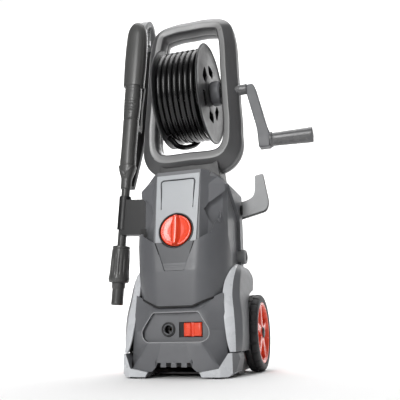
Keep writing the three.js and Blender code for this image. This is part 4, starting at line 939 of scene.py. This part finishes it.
def wing_piece(side, node):
    """A bowed skin: at each height a front band to its ridge, a narrow turn to the corner, then the side.

    The side runs back to the arch y = wheel's y - sqrt(arch^2 - (z - wheel's z)^2). The top rolls inwards.
    """
    levels = spline(wing_levels, 44)
    z, in_x, front, out_x, corner = levels.T
    z = z[:, None]
    ridge_x, ridge_y = in_x + (out_x - in_x) * 0.62, front + (corner - front) * 0.28
    a = np.linspace(0, 1, 9)[None]
    band_x = in_x[:, None] * (1 - a) + ridge_x[:, None] * a
    band_y = front[:, None] * (1 - a) + ridge_y[:, None] * a
    band_y = band_y - 1.6 * np.sin(math.pi * a)
    b = np.linspace(0, 1, 9)[None, 1:]
    turn_x = ridge_x[:, None] * (1 - b) + out_x[:, None] * b
    turn_y = ridge_y[:, None] * (1 - b) + corner[:, None] * b
    arch = WHEEL[0] - np.sqrt(np.maximum(ARCH_R**2 - (z - WHEEL[1]) ** 2, 0))
    over = np.interp(z, [188, 200, 214, 226, 238, 243], [72, 78, 83, 81, 72, 66])
    stop = np.where(z < WHEEL[1] + ARCH_R, arch, over)
    stop = np.clip(stop, corner[:, None] + 6, 83)
    c = np.linspace(0, 1, 15)[None, 1:]
    side_y = corner[:, None] * (1 - c) + stop * c
    side_x = out_x[:, None] + 0 * side_y
    x = np.concatenate([band_x, turn_x, side_x], 1)
    y = np.concatenate([band_y, turn_y, side_y], 1)
    rows = np.stack([x, y, z + 0 * x], -1)
    roll = []
    for inward, rise in [(0.6, 0.9), (2.2, 1.9), (5, 2.6), (9, 2.9)]:
        top = rows[-1].copy()
        top[:, 0] = np.maximum(top[:, 0] - inward, 111.4)
        top[:, 1] = np.where(np.arange(len(top)) < 16, top[:, 1] + inward * 0.8, top[:, 1])
        top[:, 2] = 243 + rise * 0.8
        roll.append(top)
    grid = np.concatenate([rows, np.stack(roll)])
    grid = grid * [side, 1, 1]
    looks = {"sharp": 28, "wall": 3.2, "edge": 1.0, "edge_angle": 45}
    make(f"{node}_band", Skin().grid(grid[:, :9]), "chassis", wing_silver, "silver_plastic", node, **looks)
    make(f"{node}_face", Skin().grid(grid[:, 8:]), "chassis", body_grey, "body_plastic", **looks)


wing_piece(1, "side_wing_right")
wing_piece(-1, "side_wing_left")


# ---------------------------------------------------------------- wheels
def wheel_parts(side, word):
    """The tyre's crown has two rows of lugs, half a lug apart; the rim has five raised spokes."""
    crown = [
        (72, 119), (80, 118.2), (86, 119.4), (88.8, 122), (90, 127), (90, 131), (90, 135.2), (90, 139.4),
        (90, 144), (88.6, 148.6), (85.6, 151.4), (81.5, 153), (76, 152.8), (72, 152),
    ]
    profile = eased(crown, 1.0, 3)
    ring = turned(profile, "x", WHEEL, 480)
    a = np.linspace(0, 2 * math.pi, 480, endpoint=False)[None]
    place = profile[:, 1][:, None]
    crown_share = np.clip((profile[:, 0][:, None] - 86) / 3, 0, 1)
    shift = np.where(place > 135.2, 0.5, 0.0)
    phase = (a / (2 * math.pi) * 24 + shift) % 1
    groove = np.clip(1 - np.abs(phase - 0.5) / 0.13, 0, 1) ** 0.4
    band = np.clip(1 - np.abs(place - 135.2) / 1.6, 0, 1) ** 0.5
    deep = 2.4 * crown_share * np.maximum(groove * (np.abs(place - 135.2) > 1.5), band)
    scale = 1 - deep / np.maximum(profile[:, 0][:, None], 1)
    ring[..., 1] = WHEEL[0] + (ring[..., 1] - WHEEL[0]) * scale
    ring[..., 2] = WHEEL[1] + (ring[..., 2] - WHEEL[1]) * scale
    flip = np.array([side, 1, 1])
    body = f"wheel_{word}"
    tread = Skin().grid(ring * flip, ring=True, loop=True)
    make(f"tyre_{word}_tread", tread, body, tyre_black, "tyre_rubber", f"tyre_{word}", sharp=40)
    rim = [
        (71.7, 119), (71.7, 150.4), (70.8, 151.4), (68.6, 151.8), (65.6, 151), (63.6, 149), (62.4, 144),
        (60.8, 132), (59, 129.4), (52, 128.4), (22, 127.6), (19.6, 129), (17.6, 133), (17, 148.6),
        (15.6, 150), (13.3, 150), (13.3, 144.4), (6.5, 144.4), (6.5, 119), (17, 119), (17, 124), (60, 125),
        (63, 119),
    ]
    skin = Skin().grid(turned(eased(rim, 0.9, 3), "x", WHEEL, 120) * flip, ring=True, loop=True)
    rows = np.linspace(14.5, 65.4, 9)[:, None]
    for k in range(5):
        angle = 2 * math.pi * k / 5 + math.radians(18)
        half = 8.8 + 3.2 * ((rows - 40) / 26) ** 2
        across = np.array([-1, -0.98, -0.86, -0.5, 0, 0.5, 0.86, 0.98, 1])[None] * half
        height = np.array(
            [128, 146.4, 148.4, 148.9, 149.1, 148.9, 148.4, 146.4, 128]
        )[None] - 0.03 * (rows - 14)
        spoke_y = rows * math.cos(angle) - across * math.sin(angle)
        spoke_z = rows * math.sin(angle) + across * math.cos(angle)
        face = np.stack([height + 0 * across, WHEEL[0] + spoke_y, WHEEL[1] + spoke_z], -1) * flip
        skin.grid(face)
        skin.cap(face[0]).cap(face[-1])
        skin.grid(np.stack([face[:, 0], face[:, -1]]))
    make(f"rim_{word}_moulding", skin, body, orange_gloss, "orange_plastic", f"wheel_rim_{word}", sharp=34)
    cap = [(0, 154), (6, 153.8), (10, 153), (12.4, 151), (12.7, 149), (12.7, 145), (0, 145)]
    dome = Skin().grid(turned(eased(cap, 0.8, 4, False), "x", WHEEL, 64) * flip, ring=True)
    make(f"axle_cap_{word}", dome, body, black_plastic, "black_plastic", f"hub_cap_{word}")


wheel_parts(1, "right")
wheel_parts(-1, "left")


# ---------------------------------------------------------------- cord hook
def hook_parts():
    """A light face plate on a slightly larger dark body, both from one outline. The body's black edges and
    underside are painted shade.
    """
    outline = [
        (113.4, 367), (159, 378), (178, 383), (184, 405), (172, 480), (151, 476), (149.4, 439), (146, 423),
        (129, 413.4), (113.4, 411),
    ]
    radii = [1, 6, 14, 12, 2.5, 2.5, 9, 9, 9, 1]
    shape = eased(outline, radii, 6)
    body = prism(Skin(), shape, 47.5, 58)
    boss = [(0, 99), (6, 99), (6, 111.4), (14, 111.4), (14, 117.3), (0, 117.3)]
    body.grid(turned(boss, "x", (51, 389), 48), ring=True)
    # the black body shows round the face plate as painted shade of the hook's underside and edges
    make("hook_body_painted_shade", body, "hook", black_plastic, "silver_plastic", "cord_hook", edge=0.8)
    along = np.roll(shape, -1, 0) - np.roll(shape, 1, 0)
    along /= np.linalg.norm(along, axis=1, keepdims=True)
    away = np.column_stack([along[:, 1], -along[:, 0]])
    inner = shape - 0.7 * away + np.column_stack([0 * away[:, 1], 2.2 * np.clip(-away[:, 1], 0, 1)])
    make(
        "hook_face", prism(Skin(), inner, 44, 48.2), "hook", hook_silver, "silver_plastic", edge=0.9,
        steps=3,
    )


hook_parts()


# ---------------------------------------------------------------- gun and lance
TILT = math.radians(3.8)
LANCE_X, LANCE_Z = -188, 396


def on_lance(points):
    """The gun's own upright millimetres to the machine's: tilted about Y, then moved to the lance."""
    p = np.asarray(points, float)
    x, y, z = p[..., 0], p[..., 1], p[..., 2]
    c, s = math.cos(TILT), math.sin(TILT)
    return np.stack([LANCE_X + x * c + z * s, y, LANCE_Z - x * s + z * c], -1)


def lance_loft(rings):
    """A closed skin of rings that are drawn about the upright lance."""
    return Skin().grid(on_lance(closed_ends(rings)), ring=True)


def oval_body(levels, rows, sides=72, power=0.8, straight=False):
    """A loft of ovals: at each level [height, half width, half depth, y shift] a superellipse."""
    table = np.array([list(l) + [0] * (4 - len(l)) for l in levels], float)
    smooth = table if straight else spline(table, rows)
    z, a, b, shift = (smooth[:, k][:, None] for k in range(4))
    t = np.linspace(0, 2 * math.pi, sides, endpoint=False)[None]
    c, s = np.cos(t), np.sin(t)
    x = a * np.sign(c) * np.abs(c) ** power
    y = shift + b * np.sign(s) * np.abs(s) ** power
    return np.stack([x, y, z + 0 * x], -1), t


guard_line = [
    (16, 510), (40, 563), (66, 578.6), (92, 559), (102, 510), (98, 420), (84, 300), (62, 190), (40, 122),
    (24, 74),
]


def grip_and_barrel():
    """The grip with its long grooves, and the barrel housing with rings, cooling slots and two ears."""
    grip, t = oval_body(
        [
            (352.3, 27, 21), (354, 28, 21.8), (362, 28.2, 22), (420, 29.8, 23), (486, 29, 22),
            (516, 26.5, 21), (534, 20, 17), (543, 12.5, 11.5), (546, 7, 7),
        ],
        48,
    )
    for at, wide, deep in [(-0.62, 0.05, 0.9), (-2.52, 0.05, 0.9)]:
        near = np.exp(-(((t - (at % (2 * math.pi))) / wide) ** 2))
        hold = np.clip((grip[..., 2] - 362) / 14, 0, 1) * np.clip((508 - grip[..., 2]) / 20, 0, 1)
        grip = grip - deep * (near * hold)[..., None] * np.stack(
            [np.cos(t) + 0 * near, np.sin(t), 0 * t], -1,
        )
    looks = {"sharp": 40, "edge": 0.5, "edge_angle": 60}
    make("grip_moulding", lance_loft(grip), "gun", gun_grey, "frame_plastic", "gun_grip", **looks)

    barrel, t = oval_body(
        [
            (128.3, 19, 18), (132, 20.4, 18.6), (160, 19.6, 19), (210, 19.8, 19.4), (262, 20.6, 20),
            (300, 22, 20), (340, 22.4, 20), (352, 22, 20),
        ],
        90,
    )
    z = barrel[..., 2]
    rings = sum(np.exp(-(((z - place) / 1.3) ** 2)) for place in (346, 338, 318, 262, 256))
    slots = np.clip(1 - np.abs(((z - 268) % 9) - 4.5) / 2.4, 0, 1) ** 0.5 * ((z > 272) & (z < 312))
    front = np.clip((-np.sin(t) - 0.35) * 3, 0, 1)
    behind = np.clip(1 - np.abs(t - math.pi / 2) / 0.6, 0, 1) ** 0.3
    by_pin = np.clip(1 - np.abs(z - 243) / 12, 0, 1) ** 0.3
    drop = 1.1 * np.minimum(rings, 1) + 1.3 * slots * front + 1.6 * behind * by_pin
    direction = np.stack([np.cos(t) + 0 * z, np.sin(t) + 0 * z, 0 * z], -1)
    barrel = barrel - drop[..., None] * direction
    ear = lance_loft(barrel)
    for x0, x1 in ((-13, -6), (6, 13)):
        tab = prism(Skin(), eased([(14, 235), (33, 235), (33, 251), (14, 251)], 4, 4), x0, x1, "x")
        ear.points += [on_lance(np.concatenate(tab.points))]
        ear.faces += [[i + ear.count for i in face] for face in tab.faces]
        ear.count += tab.count
    make("barrel_moulding", ear, "gun", gun_grey, "frame_plastic", "gun_barrel_housing", sharp=40)


def guard_parts():
    """The guard's strap: a rounded section that stands across its line, silver round the top bend."""
    line = spline(guard_line, 90)
    along = np.gradient(line, axis=0)
    along /= np.linalg.norm(along, axis=1, keepdims=True)
    across = np.column_stack([along[:, 1], -along[:, 0]])
    section = eased([(-12.8, -8.8), (12.8, -8.8), (12.8, 8.8), (-12.8, 8.8)], 4.5, 5)
    y = line[:, :1] + across[:, :1] * section[:, 1]
    zz = line[:, 1:] + across[:, 1:] * section[:, 1]
    strap = np.stack([np.broadcast_to(section[:, 0], y.shape), y, zz], -1)
    guard = make(
        "guard_strap", lance_loft(strap), "gun", black_plastic, "black_plastic", "gun_guard", sharp=40,
    )
    second_finish(guard.data, hook_silver, lambda normals, middles: middles[:, 2] > 905)


def lance_parts():
    """The cuff with its raised vee, the plain shaft, the fluted twist sleeve and the ribbed tip."""
    collar, t = oval_body(
        [
            (64.3, 12, 12), (66, 13, 13), (92, 14, 14), (98, 15.6, 15.6), (104, 17.6, 17),
            (116, 21.4, 18.6), (124, 22.6, 19), (127.8, 22, 18.6),
        ],
        60,
    )
    z = collar[..., 2]
    vee = np.exp(-(((z - 100 - 30 * np.abs(np.cos(t))) / 2.2) ** 2)) * 1.2
    collar = collar + vee[..., None] * np.stack([np.cos(t) + 0 * z, np.sin(t) + 0 * z, 0 * z], -1)
    make("lance_cuff", lance_loft(collar), "gun", gun_grey, "black_plastic", "lance_collar", sharp=30)

    tube_line = [(0, -158), (11, -158), (11, 127.6), (0, 127.6)]
    shaft = Skin().grid(on_lance(turned(tube_line, "z", (0, 0), 64)), ring=True)
    make("lance_shaft", shaft, "gun", gun_grey, "frame_plastic", "lance_tube")

    sleeve = [
        (11.4, -86), (20.6, -86), (21.9, -86.8), (22.5, -89), (22.5, -91.4), (21.4, -92.6), (21.4, -94),
        (22.6, -95.2), (22.9, -98),
    ]
    sleeve += [(22.9 + k * 0.075, -98 - k * 3.0) for k in range(1, 18)]
    sleeve += [
        (24.4, -152), (25.4, -160), (26.4, -166), (26.4, -170), (25, -175.5), (23.5, -178), (18, -178),
        (18, -160), (11.4, -160),
    ]
    profile = np.array(sleeve, float)
    body = turned(profile, "z", (0, 0), 192)
    a = np.linspace(0, 2 * math.pi, 192, endpoint=False)[None]
    place = profile[:, 1][:, None]
    share = np.clip((-104 - place) / 18, 0, 1) * np.clip((place + 160) / 6, 0, 1) * (
        profile[:, 0][:, None] > 20
    )
    flute = 1.3 * share * np.clip(np.cos(a * 16), -0.2, 1)
    scale = 1 - flute / profile[:, 0][:, None]
    body[..., 0] *= scale
    body[..., 1] *= scale
    twist = Skin().grid(on_lance(body), ring=True, loop=True)
    make("nozzle_twist_sleeve", twist, "nozzle", gun_grey, "black_plastic", "nozzle_sleeve", sharp=34)

    tip = [(4, -161), (15, -161), (17, -168), (17, -190), (15.6, -192), (15.2, -194)]
    tip += [(15.2 if k % 2 else 14.5, -196 - k * 1.6) for k in range(20)]
    tip += [(15, -230), (14.5, -233), (13.4, -234), (7, -234), (4, -228)]
    end = Skin().grid(on_lance(turned(tip, "z", (0, 0), 96)), ring=True, loop=True)
    make("nozzle_end", end, "gun", gun_grey, "frame_plastic", "nozzle_tip", sharp=50)


grip_and_barrel()
guard_parts()
lance_parts()


def plainer_parts():
    """The plainer mouldings keep the CAD's shape with eased edges, and the parts inside get their metals."""
    table = [
        ("trigger_lever", "trigger_blade", black_plastic, "black_plastic", 1.2),
        ("lance_holder", "lance_clip", black_plastic, "black_plastic", 1.0),
        ("water_inlet", "inlet_spigot", hook_silver, "silver_plastic", 0.8),
        ("gun_inlet", "gun_hose_nipple", steel, "steel", 0.5),
    ]
    for node, name, finish, slot, edge in table:
        softened(node, name, finish, slot, edge)
    plain = [
        (steel, ("wheel_axle", "grip_pin", "trigger_pin", "motor_shaft", "swash_plate")),
        (cast, ("motor", "pump_gearcase", "pump_head")),
        (black_plastic, ("cooling_fan", "power_switch")),
        (brass, ("outlet_pipe",)),
        (hose_black, ("inlet_hose",)),
        (tyre_black, ("foot_pad_left", "foot_pad_right")),
    ]
    for finish, nodes in plain:
        for node in nodes:
            mesh = frame["nodes"][node].data
            mesh.materials.clear()
            mesh.materials.append(finish)


plainer_parts()


# ---------------------------------------------------------------- studio
def studio():
    """A pale sweep behind and under the machine, soft boxes on both sides, one above, and a pale sky."""
    paper = bpy.data.materials.new("pale_paper")
    paper.use_nodes = True
    shader = paper.node_tree.nodes["Principled BSDF"]
    shader.inputs["Base Color"].default_value = (0.9, 0.9, 0.9, 1)
    shader.inputs["Roughness"].default_value = 0.9
    turn = np.linspace(0, math.pi / 2, 24)
    floor = np.concatenate(
        [[[-2.5, 0]], np.column_stack([3 + 1.5 * np.sin(turn), 1.5 - 1.5 * np.cos(turn)]), [[4.5, 6]]]
    )
    x = np.linspace(-9, 9, 2)
    points = np.stack([x[None] + 0 * floor[:, :1], floor[:, :1] + 0 * x, floor[:, 1:] + 0 * x], -1)
    mesh = bpy.data.meshes.new("paper_sweep")
    mesh.from_pydata(points.reshape(-1, 3).tolist(), [], quads(len(floor), 2))
    mesh.shade_smooth()
    mesh.materials.append(paper)
    sweep = bpy.data.objects.new("paper_sweep", mesh)
    bpy.context.scene.collection.objects.link(sweep)

    def soft_box(name, place, target, size, watts):
        data = bpy.data.lights.new(name, "AREA")
        data.shape, data.size, data.size_y = "RECTANGLE", size[0], size[1]
        data.energy = watts
        lamp = bpy.data.objects.new(name, data)
        lamp.location = place
        lamp.rotation_euler = (Vector(target) - Vector(place)).to_track_quat("-Z", "Y").to_euler()
        bpy.context.scene.collection.objects.link(lamp)

    soft_box("key_front", (-0.5, -2.8, 1.4), (0, 0, 0.5), (0.7, 1.9), 58)
    soft_box("front_right", (1.2, -2.5, 1.3), (0, 0, 0.5), (0.3, 1.7), 4)
    soft_box("top_light", (0, 0.1, 2.9), (0, 0, 0.4), (1.8, 1.8), 30)
    soft_box("back_light", (-0.4, 2.4, 2.2), (0, 0, 0.5), (1.6, 1.2), 16)
    soft_box("backdrop_light", (-1.4, 1.8, 3.8), (-1.7, 4.4, 1.7), (8, 1.5), 330)
    sky = bpy.data.worlds.new("pale_sky")
    sky.use_nodes = True
    sky.node_tree.nodes["Background"].inputs["Color"].default_value = (1, 1, 1, 1)
    sky.node_tree.nodes["Background"].inputs["Strength"].default_value = 0.19
    bpy.context.scene.world = sky
    bpy.context.scene.view_settings.view_transform = "Standard"


studio()
